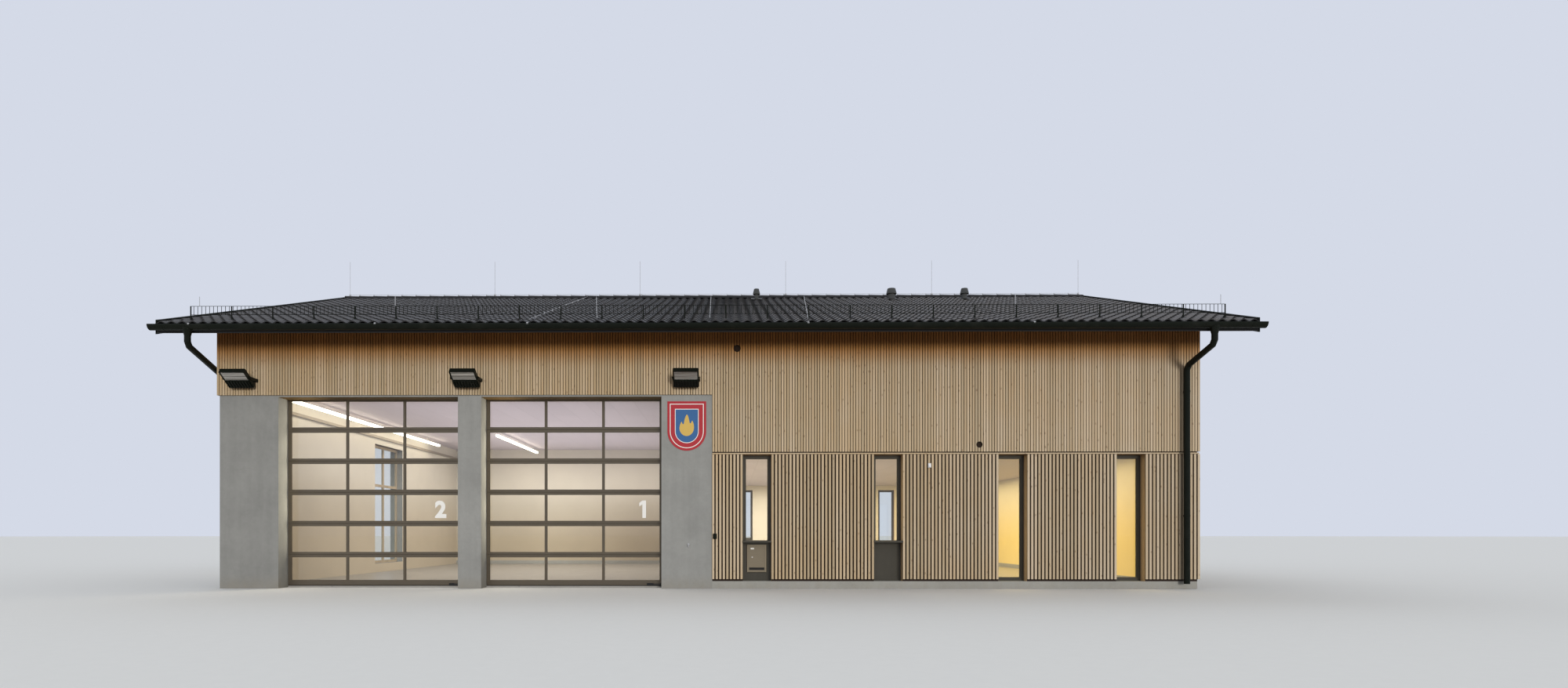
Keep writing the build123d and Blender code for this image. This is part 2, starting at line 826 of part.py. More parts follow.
def door_section(centre_x, index):
    """One section: chamfered frame, bead steps, glazing grooves, hinges and rollers."""
    joint_below = floor_thickness + section_pitch * index
    joint_above = joint_below + section_pitch
    foot = joint_below + (seat_gap if index else seal_height)
    with BuildPart() as made:
        with BuildSketch(Plane.XZ.offset(-door_front_y)):
            with Locations((centre_x, (foot + joint_above) / 2)):
                Rectangle(door_full_width, joint_above - foot)
        extrude(amount=-door_thickness)
        front = made.faces().sort_by(Axis.Y)[0]
        chamfer(front.edges().filter_by(Axis.X), section_chamfer)
        add(pane_blocks(centre_x, index, bead_width, 0, bead_depth), mode=Mode.SUBTRACT)
        add(pane_blocks(centre_x, index, 0, bead_depth, door_thickness), mode=Mode.SUBTRACT)
        groove_from = glass_depth - seat_gap
        groove_to = door_thickness - glass_depth + seat_gap
        add(pane_blocks(centre_x, index, bead_width, groove_from, groove_to), mode=Mode.SUBTRACT)
        if index < section_count - 1:
            leaf_top = joint_above - hinge_knuckle_radius / 2
            add(hinge_leaves(centre_x, joint_above - hinge_leaf_height, leaf_top))
            add(hinge_knuckles(centre_x, joint_above))
        if index:
            leaf_foot = joint_below + hinge_knuckle_radius + seat_gap
            add(hinge_leaves(centre_x, leaf_foot, joint_below + hinge_leaf_height))
        for way in (-1, 1):
            add(roller(centre_x + way * door_full_width / 2, way, joint_above - roller_from_joint))
        if not index:
            grip_x = centre_x + door_width / 2 - grip_from_edge
            grip_z = floor_thickness + bottom_rail / 2
            with BuildSketch(Plane.XZ.offset(-door_front_y)):
                with Locations((grip_x, grip_z)):
                    Rectangle(grip_width, grip_height)
            extrude(amount=grip_depth)
    return made.part


def door_seal(centre_x):
    """Rubber seal under the lowest section."""
    return block(
        centre_x - door_full_width / 2,
        centre_x + door_full_width / 2,
        door_front_y,
        door_back_y,
        floor_thickness,
        floor_thickness + seal_height - seat_gap,
    )


def door_guide(centre_x, way):
    """Roller channel on an angle leg, fixed to the inner face of a pier."""
    mouth = centre_x + way * (door_full_width / 2 + guide_clearance)
    web_inner = centre_x + way * (door_full_width / 2 + wheel_far + guide_clearance)
    web_outer = web_inner + way * guide_wall
    flange_end = web_outer + way * guide_flange
    channel_half = roller_radius + guide_clearance
    profile = [
        (flange_end, -inner_y),
        (web_inner, -inner_y),
        (web_inner, roller_y - channel_half - guide_wall),
        (mouth, roller_y - channel_half - guide_wall),
        (mouth, roller_y - channel_half),
        (web_inner, roller_y - channel_half),
        (web_inner, roller_y + channel_half),
        (mouth, roller_y + channel_half),
        (mouth, roller_y + channel_half + guide_wall),
        (web_outer, roller_y + channel_half + guide_wall),
        (web_outer, -inner_y + guide_wall),
        (flange_end, -inner_y + guide_wall),
    ]
    with BuildPart() as made:
        with BuildSketch(Plane.XY.offset(floor_thickness)):
            with BuildLine():
                Polyline(*profile, close=True)
            make_face()
        extrude(amount=door_height + door_top_overlap - floor_thickness)
    return made.part


all_panes = []
for door_number, door_x in enumerate(door_centres, start=1):
    sections = [door_section(door_x, index) for index in range(section_count)]
    save(group(*sections, door_seal(door_x)), f"door_{door_number}")
    pane_spread = bead_width - seat_gap
    pane_back = door_thickness - glass_depth
    all_panes += [pane_blocks(door_x, i, pane_spread, glass_depth, pane_back) for i in range(section_count)]
save(group(*all_panes), "door_glass")
save(group(*[door_guide(x, way) for x in door_centres for way in (-1, 1)]), "door_guides")

# Narrow windows
frame_foot = plinth_height + seat_gap
frame_head = window_head - seat_gap
frame_width = window_width - 2 * seat_gap
narrow_pane_width = frame_width - 2 * window_frame_face
pane_setback = (window_frame_depth - window_pane_thickness) / 2
rebate_cuts = (
    (window_bead, 0, window_bead),
    (0, window_bead, window_frame_depth),
    (window_bead, pane_setback - seat_gap, window_frame_depth - pane_setback + seat_gap),
)
panel_width = narrow_pane_width
panel_low = frame_foot + window_frame_face
panel_high = sill_height - sill_thickness - panel_head


def window_plane(side, setback):
    """Upright plane inside a window opening, facing out of the wall."""
    return Plane.XZ.offset(-side * (half_depth - setback))


def light_span(low):
    """Lower and upper edge of the glass that shows in a narrow window."""
    return (sill_height if low else frame_foot + window_frame_face), frame_head - window_frame_face


def window_frame(side, centre_x, low):
    """Rebated frame of one narrow window; a low one has a sunk panel under its sill."""
    light_low, light_high = light_span(low)
    with BuildPart() as made:
        with BuildSketch(window_plane(side, window_setback)):
            with Locations((centre_x, (frame_foot + frame_head) / 2)):
                Rectangle(frame_width, frame_head - frame_foot)
        extrude(amount=side * window_frame_depth)
        for spread, depth_from, depth_to in rebate_cuts:
            with BuildSketch(window_plane(side, window_setback + depth_from)):
                with Locations((centre_x, (light_low + light_high) / 2)):
                    Rectangle(narrow_pane_width + 2 * spread, light_high - light_low + 2 * spread)
            extrude(amount=side * (depth_to - depth_from), mode=Mode.SUBTRACT)
        if low:
            with BuildSketch(window_plane(side, window_setback)):
                with Locations((centre_x, (panel_low + panel_high) / 2)):
                    Rectangle(panel_width, panel_high - panel_low)
            extrude(amount=side * panel_recess, mode=Mode.SUBTRACT)
    return made.part


def window_pane(side, centre_x, low):
    """Glass of one narrow window, its edges in the frame's groove."""
    light_low, light_high = light_span(low)
    spread = window_bead - seat_gap
    with BuildPart() as made:
        with BuildSketch(window_plane(side, window_setback + pane_setback)):
            with Locations((centre_x, (light_low + light_high) / 2)):
                Rectangle(narrow_pane_width + 2 * spread, light_high - light_low + 2 * spread)
        extrude(amount=side * window_pane_thickness)
    return made.part


def window_sill(side, centre_x):
    """Ledge that falls from the frame of a low window out over the cladding."""
    inner_edge = half_depth - window_setback + seat_gap
    outer_edge = clad_y + sill_nose
    points = [
        (side * inner_edge, sill_height - sill_thickness),
        (side * inner_edge, sill_height),
        (side * outer_edge, sill_height - sill_fall),
        (side * outer_edge, sill_height - sill_thickness),
    ]
    return prism_along_x(points, centre_x - frame_width / 2, centre_x + frame_width / 2)


for side_name, side in eave_sides:
    window_kinds = [(x, index < low_window_count) for index, x in enumerate(window_centres)]
    save(group(*[window_frame(side, x, low) for x, low in window_kinds]), f"window_frames_{side_name}")
    save(group(*[window_pane(side, x, low) for x, low in window_kinds]), f"window_glass_{side_name}")
    save(group(*[window_sill(side, x) for x, low in window_kinds if low]), f"window_sills_{side_name}")

# Tall window in the left wall: two lights over two, in one frame
left_frame_x = -half_length + left_window_setback
left_light_width = (left_window_width - 2 * seat_gap - 3 * window_frame_face) / 2
light_offset = (left_light_width + window_frame_face) / 2
half_transom = window_frame_face / 2
left_lights = [
    (left_window_from_middle + way * light_offset, light_low, light_high)
    for way in (-1, 1)
    for light_low, light_high in (
        (left_window_sill + window_frame_face, left_window_transom - half_transom),
        (left_window_transom + half_transom, left_window_head - window_frame_face),
    )
]


def left_light_blocks(spread, depth_from, depth_to):
    """Blocks at the four lights of the tall window, wider by a spread."""
    with BuildPart() as made:
        with BuildSketch(Plane.YZ.offset(left_frame_x + depth_from)):
            for light_y, light_low, light_high in left_lights:
                with Locations((light_y, (light_low + light_high) / 2)):
                    Rectangle(left_light_width + 2 * spread, light_high - light_low + 2 * spread)
        extrude(amount=depth_to - depth_from)
    return made.part


with BuildPart() as left_window_frame:
    with BuildSketch(Plane.YZ.offset(left_frame_x)):
        with Locations((left_window_from_middle, (left_window_sill + left_window_head) / 2)):
            Rectangle(
                left_window_width - 2 * seat_gap,
                left_window_head - left_window_sill - 2 * seat_gap,
            )
    extrude(amount=window_frame_depth)
    for spread, depth_from, depth_to in rebate_cuts:
        add(left_light_blocks(spread, depth_from, depth_to), mode=Mode.SUBTRACT)
save(left_window_frame.part, "left_window_frame")
left_pane_back = window_frame_depth - pane_setback
save(left_light_blocks(window_bead - seat_gap, pane_setback, left_pane_back), "left_window_glass")

# Shield shaped plate with a raised rim on the right pier
pier_right_middle = (pier_right_left + side_left) / 2
shield_top = door_height - shield_below_lintel
shield_straight = shield_height - shield_width / 2
rim_plane = Plane.XZ.offset(half_depth + shield_thickness - shield_rim_depth)
with BuildPart() as shield_plate:
    with BuildSketch(Plane.XZ.offset(half_depth)):
        with Locations((pier_right_middle, shield_top - shield_straight / 2)):
            Rectangle(shield_width, shield_straight)
        with Locations((pier_right_middle, shield_top - shield_straight)):
            Circle(shield_width / 2)
    extrude(amount=shield_thickness)
    with BuildSketch(rim_plane):
        with Locations((pier_right_middle, shield_top - (shield_straight + shield_rim) / 2)):
            Rectangle(shield_width - 2 * shield_rim, shield_straight - shield_rim)
        with Locations((pier_right_middle, shield_top - shield_straight)):
            Circle(shield_width / 2 - shield_rim)
    extrude(amount=shield_rim_depth, mode=Mode.SUBTRACT)
save(shield_plate.part, "shield_plate")


def floodlight(middle_x):
    """Tilted lamp head with a sunk glass and a finned driver, on a stirrup at the wall."""
    tilt = math.radians(flood_tilt)
    head_y = -(clad_y + flood_reach)
    head_z = door_height + flood_above_door
    face = Plane(
        origin=(middle_x, head_y, head_z),
        x_dir=(1, 0, 0),
        z_dir=(0, -math.sin(tilt), -math.cos(tilt)),
    )
    glass_y = flood_length / 2 - flood_border - flood_glass_length / 2
    driver_y = flood_driver_length / 2 + flood_corner - flood_length / 2
    driver_width = flood_width - 2 * flood_border
    pivot_y = head_y + math.sin(tilt) * flood_thickness / 2
    pivot_z = head_z + math.cos(tilt) * flood_thickness / 2
    stirrup_half = flood_width / 2 + flood_pivot_gap + flood_bracket_thickness
    with BuildPart() as made:
        with BuildSketch(face):
            RectangleRounded(flood_width, flood_length, flood_corner)
        extrude(amount=-flood_thickness)
        with BuildSketch(face):
            with Locations((0, glass_y)):
                Rectangle(driver_width, flood_glass_length)
        extrude(amount=-flood_glass_recess, mode=Mode.SUBTRACT)
        with BuildSketch(face):
            with Locations((0, driver_y)):
                Rectangle(driver_width, flood_driver_length)
        extrude(amount=flood_driver_depth)
        with BuildSketch(face.offset(flood_driver_depth)):
            with Locations((0, driver_y)):
                with GridLocations(driver_width / flood_fin_count, 0, flood_fin_count, 1):
                    Rectangle(flood_fin_gap, flood_driver_length)
        extrude(amount=-flood_fin_depth, mode=Mode.SUBTRACT)
        with BuildSketch(Plane.YZ.offset(middle_x - stirrup_half - flood_pivot_radius)):
            with Locations((pivot_y, pivot_z)):
                RegularPolygon(flood_pivot_radius, round_sides)
        extrude(amount=2 * (stirrup_half + flood_pivot_radius))
        for way in (-1, 1):
            arm_x = middle_x + way * (stirrup_half - flood_bracket_thickness / 2)
            with BuildSketch(Plane.XZ.offset(clad_y)):
                with Locations((arm_x, pivot_z)):
                    Rectangle(flood_bracket_thickness, flood_bracket_height)
            extrude(amount=-pivot_y - clad_y + flood_bracket_height / 2)
        with BuildSketch(Plane.XZ.offset(clad_y)):
            with Locations((middle_x, pivot_z)):
                Rectangle(2 * stirrup_half, flood_bracket_height)
        extrude(amount=flood_bracket_thickness)
    return made.part


flood_middles = [(pier_from + pier_to) / 2 for pier_from, pier_to in pier_spans.values()]
flood_middles[0] -= left_flood_from_pier_middle
save(group(*[floodlight(x) for x in flood_middles]), "floodlights")

# Letter box on the panel of the first window: raised rim, sunk door, slot and lock
letter_x = window_centres[0]
letter_back_y = half_depth - window_setback - panel_recess
letter_front = Plane.XZ.offset(letter_back_y + letter_box_depth)
letter_middle_z = letter_box_foot + letter_box_height / 2
letter_slot_z = letter_box_foot + letter_slot_from_foot + letter_slot_height / 2
with BuildPart() as letter_box:
    with BuildSketch(Plane.XZ.offset(letter_back_y)):
        with Locations((letter_x, letter_middle_z)):
            Rectangle(letter_box_width, letter_box_height)
    extrude(amount=letter_box_depth)
    letter_face = letter_box.faces().sort_by(Axis.Y)[0]
    chamfer(letter_face.edges(), letter_edge)
    with BuildSketch(letter_front):
        with Locations((letter_x, letter_middle_z)):
            Rectangle(letter_box_width - 2 * letter_rim, letter_box_height - 2 * letter_rim)
    extrude(amount=-letter_field_depth, mode=Mode.SUBTRACT)
    with BuildSketch(letter_front):
        with Locations((letter_x, letter_slot_z)):
            Rectangle(letter_slot_width, letter_slot_height)
    extrude(amount=-letter_slot_depth, mode=Mode.SUBTRACT)
    with BuildSketch(letter_front.offset(-letter_field_depth)):
        with Locations((letter_x - letter_lock_from_middle, letter_box_foot + letter_lock_from_foot)):
            Circle(letter_lock_radius)
    extrude(amount=letter_field_depth)
save(letter_box.part, "letter_box")

# Sleeves of the round vents in the upper cladding
sleeves = []
for hole_x, hole_z, hole_radius in vent_holes:
    with BuildPart() as sleeve:
        with BuildSketch(Plane.XZ.offset(half_depth)):
            with Locations((hole_x, hole_z)):
                RegularPolygon(hole_radius - seat_gap, vent_hole_sides)
                RegularPolygon(hole_radius - vent_hole_lip, vent_hole_sides, mode=Mode.SUBTRACT)
        extrude(amount=cladding_depth)
    sleeves.append(sleeve.part)
save(group(*sleeves), "vent_sleeves")

# Tap on the right pier: rosette, stem, spout and lever
tap_x = pier_right_middle + tap_from_pier_middle
spout_y = -(half_depth + tap_reach - tap_spout_radius)
with BuildPart() as tap:
    with BuildSketch(Plane.XZ.offset(half_depth)):
        with Locations((tap_x, tap_height)):
            RegularPolygon(tap_rosette_radius, pipe_sides)
    extrude(amount=tap_rosette_depth)
    with BuildSketch(Plane.XZ.offset(half_depth)):
        with Locations((tap_x, tap_height)):
            RegularPolygon(tap_stem_radius, wheel_sides)
    extrude(amount=tap_reach)
    with BuildSketch(Plane.XY.offset(tap_height)):
        with Locations((tap_x, spout_y)):
            RegularPolygon(tap_spout_radius, wheel_sides)
    extrude(amount=-tap_spout_drop)
    with BuildSketch(Plane.XY.offset(tap_height + tap_stem_radius / 2)):
        with Locations((tap_x, -(half_depth + tap_reach / 2))):
            Rectangle(tap_stem_radius, tap_lever_length)
    extrude(amount=tap_stem_radius)
save(tap.part, "tap")

# Motion detector and outdoor socket on the lower cladding
with BuildPart() as motion_detector:
    with BuildSketch(Plane.XZ.offset(clad_y)):
        with Locations((side_left + detector_from_pier, detector_height)):
            Rectangle(detector_width, detector_body_height)
    extrude(amount=detector_depth)
    detector_face = motion_detector.faces().sort_by(Axis.Y)[0]
    chamfer(detector_face.edges(), detector_edge)
    with BuildSketch(Plane.XZ.offset(clad_y + detector_depth)):
        with Locations((side_left + detector_from_pier, detector_height - detector_eye_drop)):
            Circle(detector_eye_radius)
    extrude(amount=detector_eye_depth)
save(motion_detector.part, "motion_detector")
with BuildPart() as outdoor_socket:
    with BuildSketch(Plane.XZ.offset(clad_y)):
        with Locations((side_left + socket_from_pier, socket_height)):
            RectangleRounded(socket_width, socket_body_height, socket_corner)
    extrude(amount=socket_depth)
save(outdoor_socket.part, "outdoor_socket")

# Steel rail along the top of the concrete part of the left wall, inside the hall
wall_rail_foot = door_height - wall_rail_height
wall_rail = block(-inner_x, wall_rail_depth - inner_x, -inner_y, inner_y, wall_rail_foot, door_height)
save(wall_rail, "wall_rail")

# Light strips under the hall ceiling, each by its distance from the front wall and its length
strip_top = ceiling_height - strip_drop
first_strip_x = first_strip_from_wall - inner_x
strip_runs = (
    (first_strip_x, *first_strip_run),
    (first_strip_x + strip_spacing, *second_strip_run),
)
strips = []
for strip_x, strip_from_front, strip_length in strip_runs:
    strip_y = strip_from_front + strip_length / 2 - inner_y
    with BuildPart() as strip:
        with BuildSketch(Plane.XY.offset(strip_top - strip_height)):
            with Locations((strip_x, strip_y)):
                Rectangle(strip_width, strip_length)
        extrude(amount=strip_height)
        with BuildSketch(Plane.XY.offset(strip_top)):
            with Locations((strip_x, strip_y)):
                with GridLocations(0, strip_length / strip_hanger_count, 1, strip_hanger_count):
                    Rectangle(strip_hanger_width, strip_hanger_width)
        extrude(amount=strip_drop)
    strips.append(strip.part)
save(group(*strips), "light_strips")
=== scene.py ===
import math
import random

import bpy
from bpy.props import FloatProperty, FloatVectorProperty, PointerProperty
from mathutils import Matrix, Vector


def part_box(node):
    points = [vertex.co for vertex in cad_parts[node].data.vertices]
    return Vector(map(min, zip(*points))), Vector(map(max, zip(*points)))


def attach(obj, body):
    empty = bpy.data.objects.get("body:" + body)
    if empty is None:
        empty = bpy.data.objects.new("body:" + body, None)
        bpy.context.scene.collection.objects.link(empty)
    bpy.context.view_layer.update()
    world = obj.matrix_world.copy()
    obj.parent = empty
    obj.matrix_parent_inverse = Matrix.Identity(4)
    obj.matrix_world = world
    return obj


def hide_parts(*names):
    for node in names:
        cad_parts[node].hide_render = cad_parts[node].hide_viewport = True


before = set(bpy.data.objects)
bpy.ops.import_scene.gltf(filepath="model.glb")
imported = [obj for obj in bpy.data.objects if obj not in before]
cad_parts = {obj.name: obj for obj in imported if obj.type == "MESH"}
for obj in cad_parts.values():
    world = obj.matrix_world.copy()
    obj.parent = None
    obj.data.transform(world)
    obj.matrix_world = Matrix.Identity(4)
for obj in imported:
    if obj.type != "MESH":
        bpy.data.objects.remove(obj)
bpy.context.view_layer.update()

bl_info = {
    "name": "Fire Station Finishes",
    "version": (1, 0, 0),
    "blender": (4, 5, 0),
    "location": "View3D > Sidebar > Fire Station",
    "description": "Slats, tiles, fittings and materials for the fire station building",
    "category": "Object",
}

ROOF_PITCH = math.radians(18.2)
SLOPE = math.tan(ROOF_PITCH)
EAVE_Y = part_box("roof_tiles_back")[1].y
ROOF_END_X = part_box("roof_tiles_back")[1].x
TILE_LENGTH = 0.340
COURSE_COUNT = 26
COURSE_RUN = TILE_LENGTH * math.cos(ROOF_PITCH)
COURSE_STEP = 0.018
EAVE_TILE_Z = 5.332
TILE_APEX_Z = EAVE_TILE_Z + EAVE_Y * SLOPE
GUARD_Y = EAVE_Y - COURSE_RUN - 0.127
CREST_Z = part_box("ridge_cap")[1].z
RIDGE_WIRE_Z = CREST_Z + 0.030
WALL_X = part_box("right_wall")[1].x
WALL_Y = 7.4
CLAD_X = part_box("cladding_right")[1].x
CLAD_Y = 7.44
FASCIA_Y = 8.375
SLAT_DEPTH = 0.026
SLAT_FOOT_Z = 2.845
BATTEN_TOP_Z = 2.79
ROOF_GAP = 0.002
SIDE_GAP = 0.004
SIDE_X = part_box("pier_right")[1].x
WINDOW_MIDDLES = tuple(SIDE_X + offset for offset in (0.932, 3.657, 6.232, 8.670))
WINDOW_WIDTH = 0.6
VENT_HOLES = ((0.517, 4.993, 0.075), (5.537, 2.991, 0.065))
GUTTER_Y = 8.5003
GUTTER_Z = 5.240
GUTTER_RADIUS = 0.1
CONDUCTORS = ((-3.67, -3.45, 8.43), (-3.415, -2.18, 8.0), (-0.05, 0.09, 8.0), (2.67, 2.03, 8.43))
LAMP_TILT = math.radians(32.6)
LAMP_MIDDLE = Vector((0, -(CLAD_Y + 0.31), 4.3))
DARK_GROUND = (0.20, 0.16, 0.12)


class StationSizes(bpy.types.PropertyGroup):
    slat_pitch: FloatProperty(
        name="Slat pitch", description="Distance between upper slats",
        default=0.0575, min=0.03, unit="LENGTH",
    )
    slat_gap: FloatProperty(
        name="Slat gap", description="Open joint between upper slats",
        default=0.0125, min=0.002, unit="LENGTH",
    )
    batten_pitch: FloatProperty(
        name="Batten pitch", description="Distance between lower battens",
        default=0.0752, min=0.04, unit="LENGTH",
    )
    batten_gap: FloatProperty(
        name="Batten gap", description="Open joint between lower battens",
        default=0.029, min=0.005, unit="LENGTH",
    )
    tile_roll: FloatProperty(
        name="Tile roll", description="Height of a tile's roll over its trough",
        default=0.046, min=0.01, unit="LENGTH",
    )
    tile_width: FloatProperty(
        name="Tile width", description="Cover width of one roof tile",
        default=0.2103, min=0.1, unit="LENGTH",
    )
    ridge_tile: FloatProperty(
        name="Ridge tile", description="Cover length of one ridge tile",
        default=0.4165, min=0.2, unit="LENGTH",
    )
    bar_spacing: FloatProperty(
        name="Bar spacing", description="Distance between the snow guard's bars",
        default=0.0802, min=0.04, unit="LENGTH",
    )
    strap_spacing: FloatProperty(
        name="Strap spacing", description="Distance between the gutter's straps",
        default=0.452, min=0.2, unit="LENGTH",
    )
    wire_radius: FloatProperty(
        name="Wire radius", description="Radius of the lightning conductor",
        default=0.004, min=0.002, unit="LENGTH",
    )


class StationColours(bpy.types.PropertyGroup):
    larch: FloatVectorProperty(
        name="Larch", description="Cladding slats", subtype="COLOR",
        default=(0.545, 0.435, 0.285), min=0, max=1,
    )
    spruce: FloatVectorProperty(
        name="Spruce", description="Soffits and reveals", subtype="COLOR",
        default=(0.52, 0.36, 0.20), min=0, max=1,
    )
    concrete: FloatVectorProperty(
        name="Concrete", description="Piers, lintel and left wall", subtype="COLOR",
        default=(0.266, 0.270, 0.262), min=0, max=1,
    )
    plaster: FloatVectorProperty(
        name="Plaster", description="Inner walls", subtype="COLOR",
        default=(0.66, 0.62, 0.54), min=0, max=1,
    )
    tiles: FloatVectorProperty(
        name="Roof tiles", description="Engobe of the roof tiles", subtype="COLOR",
        default=(0.076, 0.066, 0.058), min=0, max=1,
    )
    dark_metal: FloatVectorProperty(
        name="Dark metal", description="Gutters, pipes and roof trims", subtype="COLOR",
        default=(0.008, 0.010, 0.0075), min=0, max=1,
    )
    door_metal: FloatVectorProperty(
        name="Door metal", description="Sectional door frames", subtype="COLOR",
        default=(0.137, 0.114, 0.084), min=0, max=1,
    )
    window_metal: FloatVectorProperty(
        name="Window metal", description="Window frames, panels and sills", subtype="COLOR",
        default=(0.058, 0.053, 0.041), min=0, max=1,
    )
    enamel: FloatVectorProperty(
        name="Enamel", description="Red of the shield", subtype="COLOR",
        default=(0.40, 0.022, 0.030), min=0, max=1,
    )
    backdrop: FloatVectorProperty(
        name="Backdrop", description="Background behind the building", subtype="COLOR",
        default=(0.66, 0.70, 0.80), min=0, max=1,
    )
    ground: FloatVectorProperty(
        name="Floor", description="Studio floor", subtype="COLOR",
        default=(0.80, 0.80, 0.79), min=0, max=1,
    )


class Value:
    """A shader socket that takes part in Python sums."""

    def __init__(self, look, socket):
        self.look = look
        self.socket = socket

    def sum(self, operation, first, second=0.0):
        return self.look.node("ShaderNodeMath", {"operation": operation}, {0: first, 1: second})

    def __add__(self, other):
        return self.sum("ADD", self, other)

    __radd__ = __add__

    def __sub__(self, other):
        return self.sum("SUBTRACT", self, other)

    def __rsub__(self, other):
        return self.sum("SUBTRACT", other, self)

    def __mul__(self, other):
        return self.sum("MULTIPLY", self, other)

    __rmul__ = __mul__

    def __truediv__(self, other):
        return self.sum("DIVIDE", self, other)

    def __rtruediv__(self, other):
        return self.sum("DIVIDE", other, self)

    def __gt__(self, other):
        return self.sum("GREATER_THAN", self, other)

    def __lt__(self, other):
        return self.sum("LESS_THAN", self, other)

    def __abs__(self):
        return self.sum("ABSOLUTE", self)

    def floor(self):
        return self.sum("FLOOR", self)

    def fraction(self):
        return self.sum("FRACT", self)

    def off_middle(self):
        """Distance from the middle of a whole-numbered cell, half at its edges."""
        return abs(self.fraction() - 0.5)


class Look:
    """A procedural material or world under way."""

    def __init__(self, owner, end="ShaderNodeOutputMaterial"):
        owner.use_nodes = True
        self.owner, self.tree = owner, owner.node_tree
        self.tree.nodes.clear()
        self.end = self.tree.nodes.new(end)
        self.coords = self.node("ShaderNodeTexCoord", output="Object")
        self.x, self.y, self.z = self.split(self.coords)

    def node(self, kind, settings=None, inputs=None, output=0):
        """Add a node with its settings first and its sockets after; output None gives the node."""
        made = self.tree.nodes.new(kind)
        for name, setting in (settings or {}).items():
            setattr(made, name, setting)
        for name, value in (inputs or {}).items():
            self.feed(made.inputs[name], value)
        return made if output is None else Value(self, made.outputs[output])

    def feed(self, socket, value):
        """Link a socket to a value, or set it."""
        if isinstance(value, Value):
            self.tree.links.new(value.socket, socket)
        elif isinstance(value, tuple) and socket.type == "RGBA":
            socket.default_value = (*value, 1.0)
        else:
            socket.default_value = value

    def split(self, vector):
        """A vector's three values."""
        parts = self.node("ShaderNodeSeparateXYZ", {}, {0: vector}, None)
        return [Value(self, socket) for socket in parts.outputs]

    def facing(self):
        """The surface's normal, as three values."""
        return self.split(self.node("ShaderNodeNewGeometry", output="Normal"))

    def either(self, first, second):
        """The larger of two values."""
        return self.node("ShaderNodeMath", {"operation": "MAXIMUM"}, {0: first, 1: second})

    def rays(self, *kinds):
        """One on a ray of any of these kinds, else nought."""
        path = self.node("ShaderNodeLightPath", output=None)
        found, *others = (Value(self, path.outputs[f"Is {kind} Ray"]) for kind in kinds)
        for other in others:
            found = self.either(found, other)
        return found

    def vector(self, x, y, z):
        return self.node("ShaderNodeCombineXYZ", {}, {0: x, 1: y, 2: z})

    def vectors(self, operation, first, second):
        """A Vector Math node of two vectors."""
        return self.node("ShaderNodeVectorMath", {"operation": operation}, {0: first, 1: second})

    def noise(self, scale, detail, roughness, vector=None):
        vector = vector or self.coords
        inputs = {"Vector": vector, "Scale": scale, "Detail": detail, "Roughness": roughness}
        return self.node("ShaderNodeTexNoise", {}, inputs)

    def streaks(self, x, y, z, detail, roughness):
        """Noise with its own scale along each axis."""
        return self.noise(1.0, detail, roughness, self.vectors("MULTIPLY", self.coords, (x, y, z)))

    def cells(self, vector, scale, output):
        settings = {"feature": "F1"}
        return self.node("ShaderNodeTexVoronoi", settings, {"Vector": vector, "Scale": scale}, output)

    def red(self, colour):
        return self.node("ShaderNodeSeparateColor", {}, {0: colour})

    def chance(self, vector):
        """A random value for each whole-numbered place."""
        return self.node("ShaderNodeTexWhiteNoise", {"noise_dimensions": "3D"}, {"Vector": vector})

    def ease(self, value, low, high, start=0.0, end=1.0):
        """Smooth step of a value from low to high."""
        settings = {"interpolation_type": "SMOOTHSTEP"}
        inputs = {"Value": value, "From Min": low, "From Max": high, "To Min": start, "To Max": end}
        return self.node("ShaderNodeMapRange", settings, inputs)

    def blend(self, share, first, second, kind="MIX"):
        """Mix two colours."""
        settings = {"data_type": "RGBA", "blend_type": kind}
        return self.node("ShaderNodeMix", settings, {0: share, 6: first, 7: second}, 2)

    def shade(self, colour, value):
        """A colour made lighter or darker by a value."""
        return self.node("ShaderNodeVectorMath", {"operation": "SCALE"}, {0: colour, "Scale": value})

    def tone(self):
        """The random tone that each slat or tile has as an attribute."""
        return self.node("ShaderNodeAttribute", {"attribute_name": "tone"}, output="Fac")

    def bump(self, height, distance, strength):
        inputs = {"Height": height, "Distance": distance, "Strength": strength}
        return self.node("ShaderNodeBump", {}, inputs)

    def surface(self, **sockets):
        """A Principled shader whose sockets are named as in Blender, with _ for a blank."""
        inputs = {name.replace("_", " "): value for name, value in sockets.items()}
        return self.node("ShaderNodeBsdfPrincipled", {}, inputs)

    def done(self, shader=None, **sockets):
        """Link a shader, or a Principled one with these sockets, to the output."""
        shader = shader or self.surface(**sockets)
        self.tree.links.new(shader.socket, self.end.inputs["Surface"])
        return self.owner


LOOKS = {}


def look_of(maker, *colours):
    """One material for each maker and its colours, made on first use."""
    colours = tuple(tuple(colour) for colour in colours)
    key = (maker.__name__, colours)
    if key not in LOOKS:
        LOOKS[key] = maker(Look(bpy.data.materials.new(maker.__name__)), *colours)
    return LOOKS[key]


